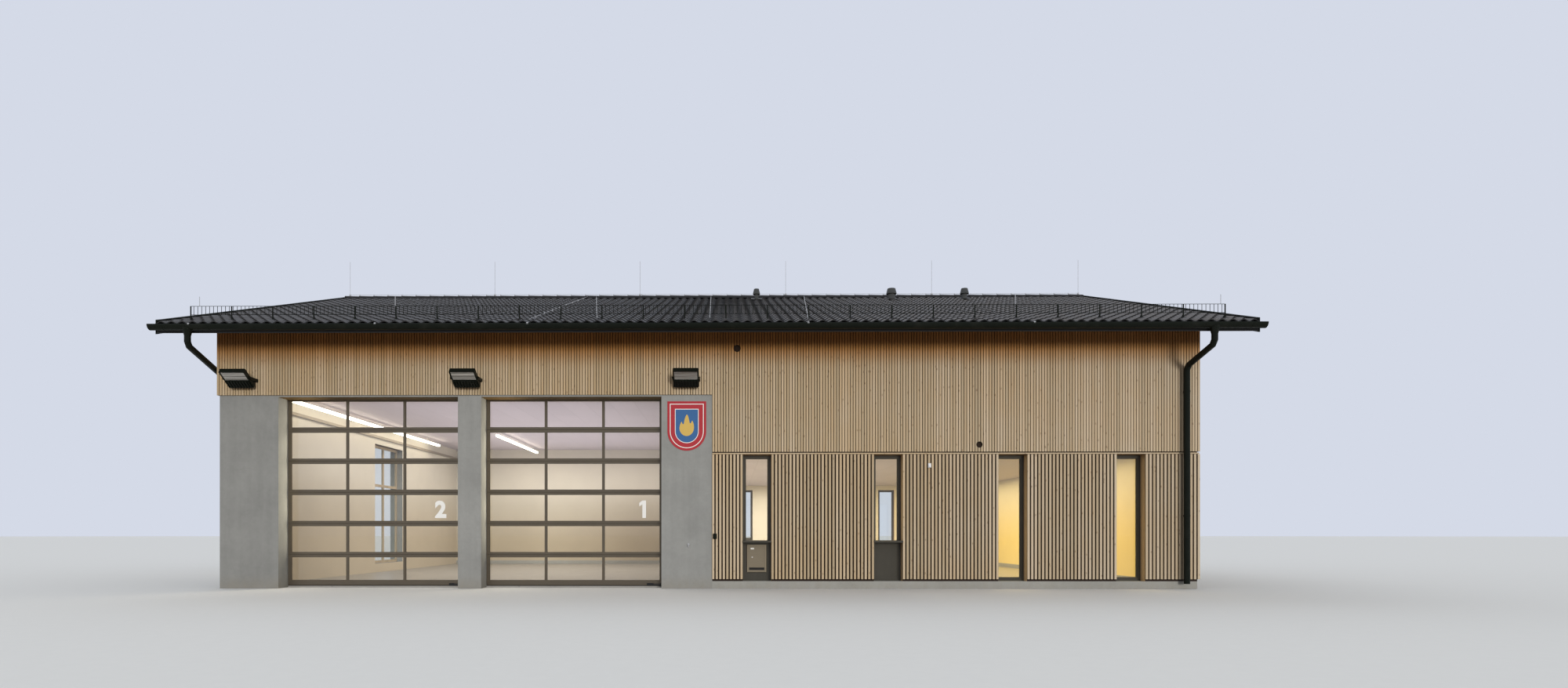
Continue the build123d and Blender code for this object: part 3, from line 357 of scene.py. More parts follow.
def slat_wood(look, colour):
    """Sawn larch, each slat in its own tone, with grain and knots along its length, and painted shade under
    the eave.
    """
    tone = look.tone()
    along = look.vector(look.x * 55.0 + tone * 90.0, look.y * 55.0, look.z * 1.6)
    grain = look.noise(1.0, 4.0, 0.6, along)
    fine = look.streaks(260.0, 260.0, 7.0, 2.0, 0.5)
    places = look.vector((look.x + look.y) / 0.058 + tone * 61.0, 0.0, look.z / 0.46)
    knots = look.cells(places, 1.0, None)
    offset = look.vectors("SUBTRACT", places, Value(look, knots.outputs["Position"]))
    true_size = look.vectors("MULTIPLY", offset, (0.058, 0.0, 0.19))
    reach = look.node("ShaderNodeVectorMath", {"operation": "LENGTH"}, {0: true_size}, "Value")
    picked = look.red(Value(look, knots.outputs["Color"]))
    knot = look.ease(reach, 0.014, 0.004) * (picked > 0.66)
    weather = look.noise(0.45, 3.0, 0.6)
    level = 0.57 + tone * 0.36 + grain * 0.26 + fine * 0.06 + weather * 0.14
    level = level * look.ease(look.x, -9.0, -2.0, 0.90, 1.0)
    warm = look.blend(look.ease(grain + tone * 0.25, 0.35, 0.80) * 0.8, colour, (0.45, 0.31, 0.165))
    aged = look.ease(weather + tone * 0.4, 0.55, 1.0) * 0.4 + look.ease(look.x, -4.0, 10.0) * 0.22
    grey = look.blend(aged, warm, (0.46, 0.415, 0.34))
    under = TILE_APEX_Z - abs(look.y) * SLOPE - look.z + (abs(look.y) < WALL_Y) * 0.3
    # Painted shade under the eave, mixed with the warmer tone of wood kept from the weather: a reddish
    # darkening near the roof, narrower on the gables.
    eave_shade_and_unweathered = look.blend(look.ease(under, 1.14, 0.62), grey, (0.66, 0.42, 0.21), "MULTIPLY")
    board = look.blend(knot * 0.55, look.shade(eave_shade_and_unweathered, level), (0.13, 0.07, 0.035))
    normal = look.bump(grain * 0.6 + fine * 0.4, 0.002, 0.6)
    return look.done(Base_Color=board, Roughness=0.66 + fine * 0.16, Normal=normal)


def membrane(look):
    """Dark breather membrane and counter battens behind the slats."""
    colour = look.blend(look.noise(3.0, 3.0, 0.6), (0.016, 0.010, 0.007), (0.030, 0.018, 0.011))
    return look.done(Base_Color=colour, Roughness=0.9)


def planed_wood(look, colour):
    """Planed spruce boards, 120 mm wide, with fine joints."""
    across = look.y / 0.12
    tone = look.chance(look.vector(across.floor(), 3.0, 5.0))
    along = look.vector(look.x * 2.0 + tone * 17.0, look.y * 60.0, look.z * 60.0)
    grain = look.noise(1.0, 3.0, 0.6, along)
    joint = look.ease(across.off_middle(), 0.475, 0.495)
    board = look.shade(colour, 0.72 + tone * 0.26 + grain * 0.18)
    final = look.blend(joint * 0.8, board, (0.06, 0.035, 0.018))
    normal = look.bump(grain * 0.15 - joint, 0.003, 0.7)
    return look.done(Base_Color=final, Roughness=0.55 + grain * 0.12, Normal=normal)


def concrete_skin(look, colour):
    """Colour, roughness and height of cast concrete: clouds, pores, faint runs, a damp foot and painted
    shade on faces turned down.
    """
    cloud = look.noise(1.1, 5.0, 0.62)
    fleck = look.noise(9.0, 4.0, 0.7)
    grit = look.noise(120.0, 2.0, 0.6)
    runs = look.streaks(7.0, 7.0, 0.45, 3.0, 0.6)
    pore = look.ease(look.cells(look.coords, 26.0, "Distance"), 0.11, 0.06)
    foot = look.ease(look.z, 0.35, 0.0)
    level = 0.52 + cloud * 0.52 + fleck * 0.22 + runs * 0.20 + grit * 0.05
    base = look.shade(colour, level * look.ease(look.x, -6.0, -9.6, 1.0, 0.87))
    stained = look.blend(foot * runs * 0.7, base, (0.22, 0.195, 0.15))
    pitted = look.blend(pore * 0.35, stained, (0.10, 0.10, 0.095))
    # Painted shade: faces turned down, such as the lintel's soffit, are darkened and browned.
    down = look.facing()[2] < -0.5
    painted_underside_shade = look.blend(down, pitted, (0.48, 0.29, 0.107), "MULTIPLY")
    return painted_underside_shade, 0.70 + cloud * 0.15, grit * 0.25 + fleck * 0.3 - pore * 0.6


def cast_concrete(look, colour):
    """Smooth cast concrete."""
    base, rough, height = concrete_skin(look, colour)
    return look.done(Base_Color=base, Roughness=rough, Normal=look.bump(height, 0.002, 0.55))


def hall_wall(look, colour, plaster):
    """Concrete wall with plaster on its inner face."""
    base, rough, height = concrete_skin(look, colour)
    inside = look.x > 0.3985 - WALL_X
    cloud = look.noise(1.6, 4.0, 0.6)
    # Painted reflection: the plaster darkens and browns towards the floor, standing in for dark things
    # mirrored in the door glass.
    tone = look.blend(look.ease(look.z, 3.0, 0.9) * 0.65, plaster, (0.46, 0.37, 0.24))
    final = look.blend(inside, base, look.shade(tone, 0.90 + cloud * 0.16))
    normal = look.bump(height * (1.0 - inside), 0.002, 0.55)
    return look.done(Base_Color=final, Roughness=rough, Normal=normal)


def framed_wall(look, plaster, wood):
    """Framed wall: dark membrane outside, boarded reveals, plaster inside."""
    turn_x, _, turn_z = (abs(turn) for turn in look.facing())
    deep, wide = abs(look.y), abs(look.x)
    outside = look.either(deep > WALL_Y - 0.002, wide > WALL_X - 0.002)
    in_wall = (deep > WALL_Y - 0.399) * (wide < WALL_X - 0.41)
    reveal = look.either(turn_x > 0.5, turn_z > 0.5) * in_wall
    grain = look.streaks(60.0, 60.0, 2.0, 3.0, 0.6)
    cloud = look.noise(2.0, 4.0, 0.6)
    board = look.shade(wood, 0.72 + grain * 0.35)
    warm = look.ease(look.z, 2.7, 0.8) * (look.x > 7.0)
    # Painted reflection: on the hall side the plaster browns towards the floor, standing in for dark things
    # mirrored in the glass.
    painted_reflection = look.ease(look.z, 3.0, 0.6) * (look.x < 0.0) * 0.75
    tone = look.blend(painted_reflection, look.blend(warm, plaster, (0.78, 0.63, 0.27)), (0.36, 0.28, 0.17))
    inner = look.blend(reveal, look.shade(tone, 0.92 + cloud * 0.12), board)
    colour = look.blend(outside * (1.0 - reveal), inner, (0.022, 0.013, 0.009))
    normal = look.bump(grain * reveal + cloud * 0.2, 0.0015, 0.5)
    return look.done(Base_Color=colour, Roughness=0.78, Normal=normal)


def inner_walls(look, colour):
    """Painted partition and its scuffed foot."""
    cloud = look.noise(1.6, 4.0, 0.6)
    peel = look.noise(180.0, 2.0, 0.5)
    scuff = look.streaks(3.0, 3.0, 9.0, 4.0, 0.7) * look.ease(look.z, 1.1, 0.1)
    base = look.shade(colour, 0.92 + cloud * 0.12)
    final = look.blend(look.ease(scuff, 0.35, 0.6) * 0.4, base, (0.22, 0.20, 0.17))
    return look.done(Base_Color=final, Roughness=0.7, Normal=look.bump(peel, 0.0008, 0.4))


def hall_floor(look):
    """Grey sealed floor with faint wheel marks and joints every four metres."""
    cloud = look.noise(0.9, 5.0, 0.6)
    mark = look.streaks(3.5, 0.35, 1.0, 4.0, 0.65)
    joint = look.ease((look.x / 4.0).off_middle(), 0.4985, 0.4995)
    base = look.shade((0.30, 0.29, 0.27), 0.8 + cloud * 0.35)
    worn = look.blend(look.ease(mark, 0.55, 0.75) * 0.35, base, (0.12, 0.115, 0.105))
    final = look.blend(joint, worn, (0.06, 0.06, 0.055))
    return look.done(Base_Color=final, Roughness=0.22 + cloud * 0.25)


def pale_ceiling(look):
    """Pale acoustic boards with fine joints."""
    across, along = look.x / 0.6, look.y / 1.2
    tone = look.chance(look.vector(across.floor(), along.floor(), 1.0))
    wool = look.noise(90.0, 3.0, 0.7)
    joint = look.either(
        look.ease(across.off_middle(), 0.488, 0.497), look.ease(along.off_middle(), 0.494, 0.4985)
    )
    base = look.shade((0.56, 0.51, 0.55), 0.9 + tone * 0.05 + wool * 0.12)
    final = look.blend(joint * 0.35, base, (0.22, 0.20, 0.21))
    return look.done(Base_Color=final, Roughness=0.85, Normal=look.bump(wool, 0.002, 0.5))


def roof_underlay(look, wood):
    """Deck: dark underlay on top, planed boards below, a coated board at the fascia."""
    upward = look.either(look.facing()[2] > 0.3, abs(look.y) > FASCIA_Y - 0.001)
    across = look.y / 0.121
    tone = look.chance(look.vector(across.floor(), 2.0, 7.0))
    along = look.vector(look.x * 1.6 + tone * 19.0, look.y * 55.0, look.z * 55.0)
    grain = look.noise(1.0, 4.0, 0.6, along)
    joint = look.ease(across.off_middle(), 0.47, 0.495) * (1.0 - upward)
    board = look.shade(wood, 0.74 + tone * 0.24 + grain * 0.2)
    jointed = look.blend(joint * 0.8, board, (0.05, 0.03, 0.015))
    final = look.blend(upward, jointed, (0.012, 0.012, 0.013))
    normal = look.bump(grain * 0.15 - joint, 0.003, 0.7)
    return look.done(Base_Color=final, Roughness=0.6, Normal=normal)


def tile_clay(look, colour):
    """Engobed roof tile in its own tone, with painted shade in its trough, on its flank, at its nose and
    under each next course.
    """
    tone = look.tone()
    speck = look.noise(70.0, 3.0, 0.65)
    cloud = look.noise(1.3, 4.0, 0.6)
    level = 0.70 + tone * 0.46 + cloud * 0.18 + speck * 0.14
    rise = look.z + abs(look.y) * SLOPE - TILE_APEX_Z
    # Painted shade: the trough, the nose's face, the flank turned to +x and the top of each course under the
    # next one's nose are darkened.
    trough = look.ease(rise, -0.012, -0.044)
    turn_x, turn_y, _ = look.facing()
    lip = look.ease(abs(turn_y), 0.62, 0.85)
    flank = look.ease(turn_x, 0.06, 0.38)
    lapped_shadow = look.ease(((EAVE_Y - abs(look.y)) / COURSE_RUN).fraction(), 0.60, 0.97)
    painted_shade = (1.0 - trough * 0.6) * (1.0 - lip * 0.88) * (1.0 - lapped_shadow * 0.5) * (1.0 - flank * 0.7)
    base = look.shade(colour, level * painted_shade)
    lichen = look.ease(look.noise(14.0, 5.0, 0.7), 0.62, 0.78)
    final = look.blend(lichen * 0.25, base, (0.16, 0.155, 0.14))
    rough = 0.40 + tone * 0.12 + speck * 0.14
    return look.done(Base_Color=final, Roughness=rough, Normal=look.bump(speck, 0.0012, 0.5))


def coated_metal(look, colour):
    """Powder coated metal with a fine orange peel and a little dust; the darkest coats are matt."""
    peel = look.noise(240.0, 2.0, 0.5)
    dust = look.noise(3.0, 4.0, 0.6)
    runs = look.streaks(18.0, 18.0, 0.8, 3.0, 0.6)
    base = look.shade(colour, 0.82 + dust * 0.26 + runs * 0.12)
    dusty = look.blend(look.ease(dust, 0.5, 0.8) * 0.05, base, (0.16, 0.15, 0.13))
    return look.done(
        Base_Color=dusty, Metallic=0.15, Roughness=0.38 + dust * 0.18,
        Specular_IOR_Level=0.5 if max(colour) > 0.03 else 0.10, Normal=look.bump(peel, 0.0006, 0.35),
    )


def door_metal(look, colour):
    """Anodised door sections, with the rubber seal and grime at the foot."""
    brush = look.streaks(4.0, 60.0, 60.0, 3.0, 0.5)
    dust = look.noise(4.0, 4.0, 0.6)
    low = look.ease(look.z, 0.22, 0.04)
    rubber = look.z < 0.0421
    base = look.shade(colour, 0.84 + dust * 0.2 + brush * 0.12)
    grimed = look.blend(low * dust * 0.6, base, (0.10, 0.085, 0.065))
    final = look.blend(rubber, grimed, (0.012, 0.012, 0.012))
    rough = 0.36 + dust * 0.14 + rubber * 0.35
    return look.done(Base_Color=final, Metallic=(1.0 - rubber) * 0.55, Roughness=rough)


def zinc(look):
    """Galvanised steel with its spangle."""
    spangle = look.red(look.cells(look.coords, 55.0, "Color"))
    base = look.shade((0.42, 0.43, 0.44), 0.8 + spangle * 0.35)
    return look.done(Base_Color=base, Metallic=0.85, Roughness=0.34 + spangle * 0.2)


def letter_steel(look, low, high):
    """Brushed steel of the letter box, with a brighter rim, its lock and painted shade in its slot."""
    brush = look.streaks(6.0, 30.0, 420.0, 3.0, 0.6)
    smear = look.noise(7.0, 4.0, 0.6)
    middle = (low[0] + high[0]) / 2
    across = abs(look.x - middle)
    up = look.z - low[2]
    slot = (up > 0.046) * (up < 0.100) * (across < 0.160)
    rim = look.either(across > (high[0] - low[0]) / 2 - 0.016, up > high[2] - low[2] - 0.016)
    base = look.shade((0.30, 0.25, 0.175), 0.8 + brush * 0.2 + smear * 0.15 + rim * 0.35)
    aside = look.x - middle + 0.094
    lock = (aside * aside + (up - 0.316) * (up - 0.316)) < 0.00022
    fitted = look.blend(lock, base, (0.72, 0.69, 0.64))
    # Painted shade: the slot's recess is filled with near black.
    final = look.blend(slot, fitted, (0.012, 0.010, 0.008))
    rough = 0.34 + brush * 0.14 + smear * 0.12
    normal = look.bump(brush, 0.0004, 0.4)
    return look.done(Base_Color=final, Metallic=(1.0 - slot) * 0.6, Roughness=rough, Normal=normal)


def drawn_aluminium(look):
    """Drawn aluminium, dulled by weather."""
    dull = look.noise(30.0, 3.0, 0.6)
    base = look.shade((0.62, 0.62, 0.62), 0.75 + dull * 0.4)
    return look.done(Base_Color=base, Metallic=0.7, Roughness=0.32 + dull * 0.25)


def enamel(look, colour):
    """Vitreous enamel with a slightly wavy gloss."""
    wave = look.noise(11.0, 2.0, 0.5)
    speck = look.noise(160.0, 2.0, 0.5)
    base = look.shade(colour, 0.92 + speck * 0.1 + wave * 0.06)
    return look.done(Base_Color=base, Roughness=0.18 + speck * 0.08, Normal=look.bump(wave, 0.002, 0.3))


def moulded_plastic(look, colour):
    """Fine grained moulded plastic."""
    grain = look.noise(320.0, 2.0, 0.5)
    base = look.shade(colour, 0.92 + look.noise(12.0, 3.0, 0.5) * 0.12)
    return look.done(Base_Color=base, Roughness=0.42 + grain * 0.12, Normal=look.bump(grain, 0.0005, 0.4))


def lit_diffuser(look):
    """Lit strip: bright diffuser in a pale housing."""
    side = 1.0 - (look.facing()[2] > 0.5)
    glow = side * (look.z < 4.1805) * (0.92 + look.noise(3.0, 2.0, 0.5) * 0.12)
    tint = look.blend(glow, (0.0, 0.0, 0.0), (1.0, 0.90, 0.70))
    return look.done(
        Base_Color=(0.75, 0.74, 0.70), Roughness=0.5, Emission_Color=tint, Emission_Strength=9.0
    )


def clear_glass(look):
    """Float glass, faintly dusty, that lets the lamps' light through."""
    tint = (0.93, 0.95, 0.94)
    rough = 0.01 + look.ease(look.noise(2.2, 4.0, 0.65), 0.5, 0.9) * 0.03
    pane = look.surface(Base_Color=tint, Roughness=rough, IOR=1.45, Transmission_Weight=1.0)
    clear = look.node("ShaderNodeBsdfTransparent", {}, {"Color": tint})
    lamps = look.rays("Shadow", "Diffuse")
    return look.done(look.node("ShaderNodeMixShader", {}, {0: lamps, 1: pane, 2: clear}))


def lamp_reflector(look):
    """Reflector behind a lamp's glass, with painted reflections in light and dark bands along its width."""
    along = look.y * -0.842 + look.z * 0.539
    # Painted reflection: bands of light and dark metal across the ribs.
    band = look.noise(1.0, 2.0, 0.5, look.vector(look.x * 0.5, 0.0, along * 55.0))
    base = look.blend(look.ease(band, 0.35, 0.65), (0.13, 0.125, 0.11), (0.62, 0.60, 0.57))
    return look.done(Base_Color=base, Metallic=0.5, Roughness=0.28 + band * 0.2)


def leave():
    """Back to object mode."""
    bpy.ops.object.mode_set(mode="OBJECT")


def lone(piece):
    """Make one object the only selected one, in object mode."""
    if bpy.context.mode != "OBJECT":
        leave()
    bpy.ops.object.select_all(action="DESELECT")
    if piece:
        piece.select_set(True)
        bpy.context.view_layer.objects.active = piece


def settle(name):
    """Name the new object and put its place into its mesh."""
    piece = bpy.context.object
    lone(piece)
    bpy.ops.object.transform_apply(location=True, rotation=True, scale=True)
    piece.name = piece.data.name = name
    return piece


def cuboid(name, low, high):
    """Block between two corners."""
    lone(None)
    low, high = Vector(low), Vector(high)
    bpy.ops.mesh.primitive_cube_add(size=1, location=(low + high) / 2, scale=high - low)
    return settle(name)


def upright(name, along, start, stop, outer, inner, low, high):
    """Upright block along x (0) or y (1), between two places and two faces."""
    spans = [(start, stop), sorted((outer, inner))]
    if along == 1:
        spans.reverse()
    return cuboid(name, (spans[0][0], spans[1][0], low), (spans[0][1], spans[1][1], high))


def rod(name, start, stop, radius):
    """Round bar between two points."""
    start, stop = Vector(start), Vector(stop)
    span = stop - start
    turn = Vector((0, 0, 1)).rotation_difference(span).to_euler()
    lone(None)
    bpy.ops.mesh.primitive_cylinder_add(
        vertices=8, radius=radius, depth=span.length, location=(start + stop) / 2, rotation=turn
    )
    piece = settle(name)
    pick(piece, "FACE", lambda m, n: abs(n.dot(span.normalized())) > 0.9)
    bpy.ops.mesh.inset(thickness=radius * 0.3)
    leave()
    return piece


def pick(piece, kind, test):
    """Edit mode with what passes a test selected.

    The test is given a vertex's place, an edge's middle and span, or a face's middle and normal.
    """
    lone(piece)
    bpy.ops.object.mode_set(mode="EDIT")
    bpy.ops.mesh.select_mode(type=kind)
    bpy.ops.mesh.select_all(action="DESELECT")
    leave()
    mesh = piece.data
    if kind == "VERT":
        for part in mesh.vertices:
            part.select = bool(test(part.co, None))
    elif kind == "EDGE":
        for part in mesh.edges:
            start, stop = (mesh.vertices[i].co for i in part.vertices)
            part.select = bool(test((start + stop) / 2, stop - start))
    else:
        for part in mesh.polygons:
            part.select = bool(test(part.center, part.normal))
    bpy.ops.object.mode_set(mode="EDIT")


def everything(middle, span):
    return True


def bevel(piece, offset, test, segments=1):
    """Bevel the edges that pass a test of middle and span."""
    pick(piece, "EDGE", test)
    bpy.ops.mesh.bevel(offset=offset, segments=segments, affect="EDGES")
    leave()


def trim(piece, point, normal, fill=True):
    """Cut away what lies beyond a plane, and close the cut unless told not to."""
    pick(piece, "FACE", everything)
    bpy.ops.mesh.bisect(plane_co=point, plane_no=normal, use_fill=fill, clear_outer=True)
    leave()


def turn_outward():
    """In edit mode: make all the faces point outwards, and leave it."""
    bpy.ops.mesh.select_all(action="SELECT")
    bpy.ops.mesh.normals_make_consistent(inside=False)
    leave()


def modify(piece, kind, **settings):
    """Add a modifier with its settings and apply it."""
    lone(piece)
    modifier = piece.modifiers.new(kind, kind)
    for name, value in settings.items():
        setattr(modifier, name, value)
    bpy.ops.object.modifier_apply(modifier=kind)
    return piece


def row(piece, count, step):
    """Repeat a piece in a row, as one mesh."""
    return modify(
        piece, "ARRAY", count=count, use_relative_offset=False, use_constant_offset=True,
        constant_offset_displace=step,
    )


def tone_copies(piece, each, seed):
    """Give each copy in a row, of so many vertices, its own random tone."""
    rng = random.Random(seed)
    tones = [rng.random() for _ in range(len(piece.data.vertices) // each + 1)]
    values = [tones[i // each] for i in range(len(piece.data.vertices))]
    attribute = piece.data.attributes.new("tone", "FLOAT", "POINT")
    attribute.data.foreach_set("value", values)


def smooth(piece, degrees):
    lone(piece)
    bpy.ops.object.shade_smooth_by_angle(angle=math.radians(degrees))


def twin(piece, name, turn):
    """Copy of a piece with its own mesh, moved by a matrix."""
    copied = piece.copy()
    copied.data = piece.data.copy()
    copied.name = copied.data.name = name
    bpy.context.collection.objects.link(copied)
    copied.matrix_world = turn
    lone(copied)
    bpy.ops.object.transform_apply(location=True, rotation=True, scale=True)
    return copied


def fuse(name, pieces):
    """Join several pieces into one object."""
    lone(None)
    for piece in pieces:
        piece.select_set(True)
    bpy.context.view_layer.objects.active = pieces[0]
    bpy.ops.object.join()
    joined = bpy.context.object
    joined.name = joined.data.name = name
    return joined


def paint(piece, look):
    piece.data.materials.clear()
    piece.data.materials.append(look)
    return piece


def fit(piece, slot, *nodes):
    """Hang a finished piece on the building and hide the nodes it stands for."""
    lone(piece)
    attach(piece, "root")
    if nodes:
        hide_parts(*nodes)


def fit_both(front, name, slot, *nodes):
    """Hang a piece on the front and its turned copy on the back."""
    front.name = front.data.name = name + "_front"
    back = twin(front, name + "_back", Matrix.Rotation(math.pi, 4, "Z"))
    for piece, side in ((front, "_front"), (back, "_back")):
        fit(piece, slot, *(node + side for node in nodes))


def dress(look, *names):
    """Give CAD nodes a material."""
    for name in names:
        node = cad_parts[name]
        if not node.material_slots:
            node.data.materials.append(look)
        for slot in node.material_slots:
            slot.material = look


class Step:
    """What all the operators share."""

    bl_options = {"REGISTER", "UNDO"}


class STATION_OT_finishes(Step, bpy.types.Operator):
    """Give every node that stays its material"""

    bl_idname = "station.finishes"
    bl_label = "Finishes"

    def execute(self, context):
        colours = context.scene.station_colours
        dress(
            look_of(cast_concrete, colours.concrete),
            "pier_left", "pier_middle", "pier_right", "door_lintel",
        )
        dress(
            look_of(cast_concrete, (0.325, 0.330, 0.315)), "plinth_front", "plinth_right", "plinth_back"
        )
        dress(look_of(hall_wall, colours.concrete, colours.plaster), "left_wall")
        dress(
            look_of(framed_wall, colours.plaster, colours.spruce),
            "front_wall_over_doors", "front_wall_side", "back_wall", "left_gable", "right_wall",
        )
        dress(look_of(inner_walls, colours.plaster), "partition_wall")
        dress(look_of(hall_floor), "floor_slab")
        dress(look_of(pale_ceiling), "hall_ceiling", "room_ceiling")
        dress(look_of(roof_underlay, colours.spruce), "roof_deck_front", "roof_deck_back")
        dress(
            look_of(coated_metal, colours.dark_metal),
            "verge_trims", "gutter_front", "gutter_back", "downpipes_front", "downpipes_back",
            "snow_guard_front", "snow_guard_back", "vent_sleeves", "outdoor_socket", "floodlights",
        )
        dress(look_of(coated_metal, (0.045, 0.047, 0.045)), "roof_vents")
        dress(look_of(coated_metal, (0.30, 0.255, 0.20)), "wall_rail")
        dress(look_of(drawn_aluminium), "lightning_rods", "tap")
        dress(look_of(door_metal, colours.door_metal), "door_1", "door_2")
        dress(look_of(zinc), "door_guides")
        dress(
            look_of(coated_metal, colours.window_metal),
            "window_frames_front", "window_frames_back", "window_sills_front", "window_sills_back",
        )
        dress(look_of(planed_wood, (0.46, 0.37, 0.25)), "left_window_frame")
        dress(
            look_of(clear_glass),
            "door_glass", "window_glass_front", "window_glass_back", "left_window_glass",
        )
        dress(look_of(letter_steel, *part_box("letter_box")), "letter_box")
        dress(look_of(moulded_plastic, (0.78, 0.79, 0.82)), "motion_detector")
        dress(look_of(lit_diffuser), "light_strips")
        return {"FINISHED"}


class STATION_OT_slats(Step, bpy.types.Operator):
    """Clad the walls with upright slats over a dark membrane"""

    bl_idname = "station.slats"
    bl_label = "Slats"

    def execute(self, context):
        self.front()
        self.gables()
        self.back()
        return {"FINISHED"}

    def field(self, kind, along, side, start, stop, low, high, seed):
        """Slats or battens and their membrane, along x (0) or y (1), on the low (-1) or high (1) side."""
        scene = bpy.context.scene
        sizes, colours = scene.station_sizes, scene.station_colours
        pitch, gap = sizes.slat_pitch, sizes.slat_gap
        if kind == "battens":
            pitch, gap = sizes.batten_pitch, sizes.batten_gap
        wall, face = ((WALL_Y, CLAD_Y), (WALL_X, CLAD_X))[along]
        wall, face, inward = side * wall, side * face, side * -SLAT_DEPTH
        slats = self.slat_row(kind, along, start, stop, face, face + inward, low, high, pitch, gap, seed)
        board = upright(kind + "_back", along, start, stop, wall, wall - inward / 4, low, high)
        return [paint(slats, look_of(slat_wood, colours.larch)), paint(board, look_of(membrane))]

    def slat_row(self, name, along, start, stop, outer, inner, low, high, pitch, gap, seed):
        """Row of upright slats with eased outer edges."""
        count = max(1, round((stop - start + gap) / pitch))
        real_pitch = (stop - start + gap) / count
        piece = upright(name, along, start, start + real_pitch - gap, outer, inner, low, high)
        bevel(piece, 0.003, lambda m, s: abs(s.z) > 0.01 and abs(m[1 - along] - outer) < 0.001)
        each = len(piece.data.vertices)
        row(piece, count, (0, real_pitch, 0) if along else (real_pitch, 0, 0))
        tone_copies(piece, each, seed)
        return piece

    def battens(self, side, start, stop, low, high, seed):
        """Lower battens between the windows."""
        starts = [start] + [middle + WINDOW_WIDTH / 2 for middle in WINDOW_MIDDLES]
        stops = [middle - WINDOW_WIDTH / 2 for middle in WINDOW_MIDDLES] + [stop]
        pieces = []
        for number, (left, right) in enumerate(zip(starts, stops)):
            pieces += self.field("battens", 0, side, left, right, low, high, seed + number)
        return pieces

    def front(self):
        low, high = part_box("cladding_over_doors")
        pieces = self.field("slats", 0, -1, low.x, SIDE_X - SIDE_GAP, low.z, high.z, 11)
        over_doors = fuse("slats_over_doors", pieces)
        self.trim_front(over_doors)
        fit(over_doors, "cladding", "cladding_over_doors")
        low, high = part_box("cladding_front_upper")
        pieces = self.field("slats", 0, -1, SIDE_X + SIDE_GAP, high.x, low.z, high.z, 12)
        for offset, middle_z, radius in VENT_HOLES:
            self.bore(pieces[0], SIDE_X + offset, middle_z, radius)
        upper = fuse("slats_front_upper", pieces)
        self.trim_front(upper)
        fit(upper, "cladding", "cladding_front_upper")
        low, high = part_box("cladding_front_lower")
        pieces = self.battens(-1, low.x, high.x, low.z, high.z, 20)
        fit(fuse("battens_front_lower", pieces), "cladding", "cladding_front_lower")

    def trim_front(self, piece):
        """Trim slats on the front along the roof's underside."""
        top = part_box("cladding_front_upper")[1].z
        trim(piece, (0, -WALL_Y, top - ROOF_GAP), (0, -SLOPE, 1))

    def bore(self, piece, middle_x, middle_z, radius):
        """Round hole through the slats."""
        lone(None)
        bpy.ops.mesh.primitive_cylinder_add(
            vertices=24, radius=radius, depth=0.2, location=(middle_x, -CLAD_Y, middle_z),
            rotation=(math.pi / 2, 0, 0),
        )
        drill = settle("drill")
        modify(piece, "BOOLEAN", operation="DIFFERENCE", object=drill, solver="EXACT")
        bpy.data.objects.remove(drill)

    def gables(self):
        low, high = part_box("cladding_left")
        left = fuse("slats_left", self.field("slats", 1, -1, low.y, high.y, low.z, high.z, 31))
        self.trim_gable(left)
        fit(left, "cladding", "cladding_left")
        low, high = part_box("cladding_right")
        top = fuse("slats_right_top", self.field("slats", 1, 1, low.y, high.y, SLAT_FOOT_Z, high.z, 32))
        self.trim_gable(top)
        pieces = self.field("battens", 1, 1, low.y, high.y, low.z, BATTEN_TOP_Z, 33)
        fit(fuse("slats_right", [top] + pieces), "cladding", "cladding_right")

    def trim_gable(self, piece):
        """Trim slats on a gable along both slopes."""
        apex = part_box("cladding_left")[1].z - ROOF_GAP
        trim(piece, (0, 0, apex), (0, SLOPE, 1))
        trim(piece, (0, 0, apex), (0, -SLOPE, 1))

    def back(self):
        low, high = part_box("cladding_back")
        top = fuse("slats_back_top", self.field("slats", 0, 1, low.x, high.x, SLAT_FOOT_Z, high.z, 41))
        trim(top, (0, WALL_Y, high.z - ROOF_GAP), (0, SLOPE, 1))
        pieces = self.battens(1, low.x, high.x, low.z, BATTEN_TOP_Z, 50)
        fit(fuse("slats_back", [top] + pieces), "cladding", "cladding_back")


class STATION_OT_joint_strips(Step, bpy.types.Operator):
    """Set the thin horizontal strips in the joint between upper and lower cladding"""

    bl_idname = "station.joint_strips"
    bl_label = "Joint strips"

    def execute(self, context):
        low, high, depth, eased = 2.798, 2.824, 0.030, 0.006
        tone_size = 100  # more vertices than a strip has, so each strip gets one tone
        front = cuboid("strip", (SIDE_X, -WALL_Y - depth, low), (WALL_X, -WALL_Y, high))
        right = cuboid("strip", (WALL_X, -WALL_Y - depth, low), (WALL_X + depth, WALL_Y + depth, high))
        back = cuboid("strip", (-CLAD_X + 0.002, WALL_Y, low), (WALL_X, WALL_Y + depth, high))
        for piece in (front, right, back):
            bevel(piece, eased, lambda m, s: abs(s.z) < 0.001 and m.z > high - 0.001)
            tone_copies(piece, tone_size, 5)
        strips = fuse("joint_strips", [front, right, back])
        fit(paint(strips, look_of(slat_wood, context.scene.station_colours.larch)), "cladding")
        return {"FINISHED"}


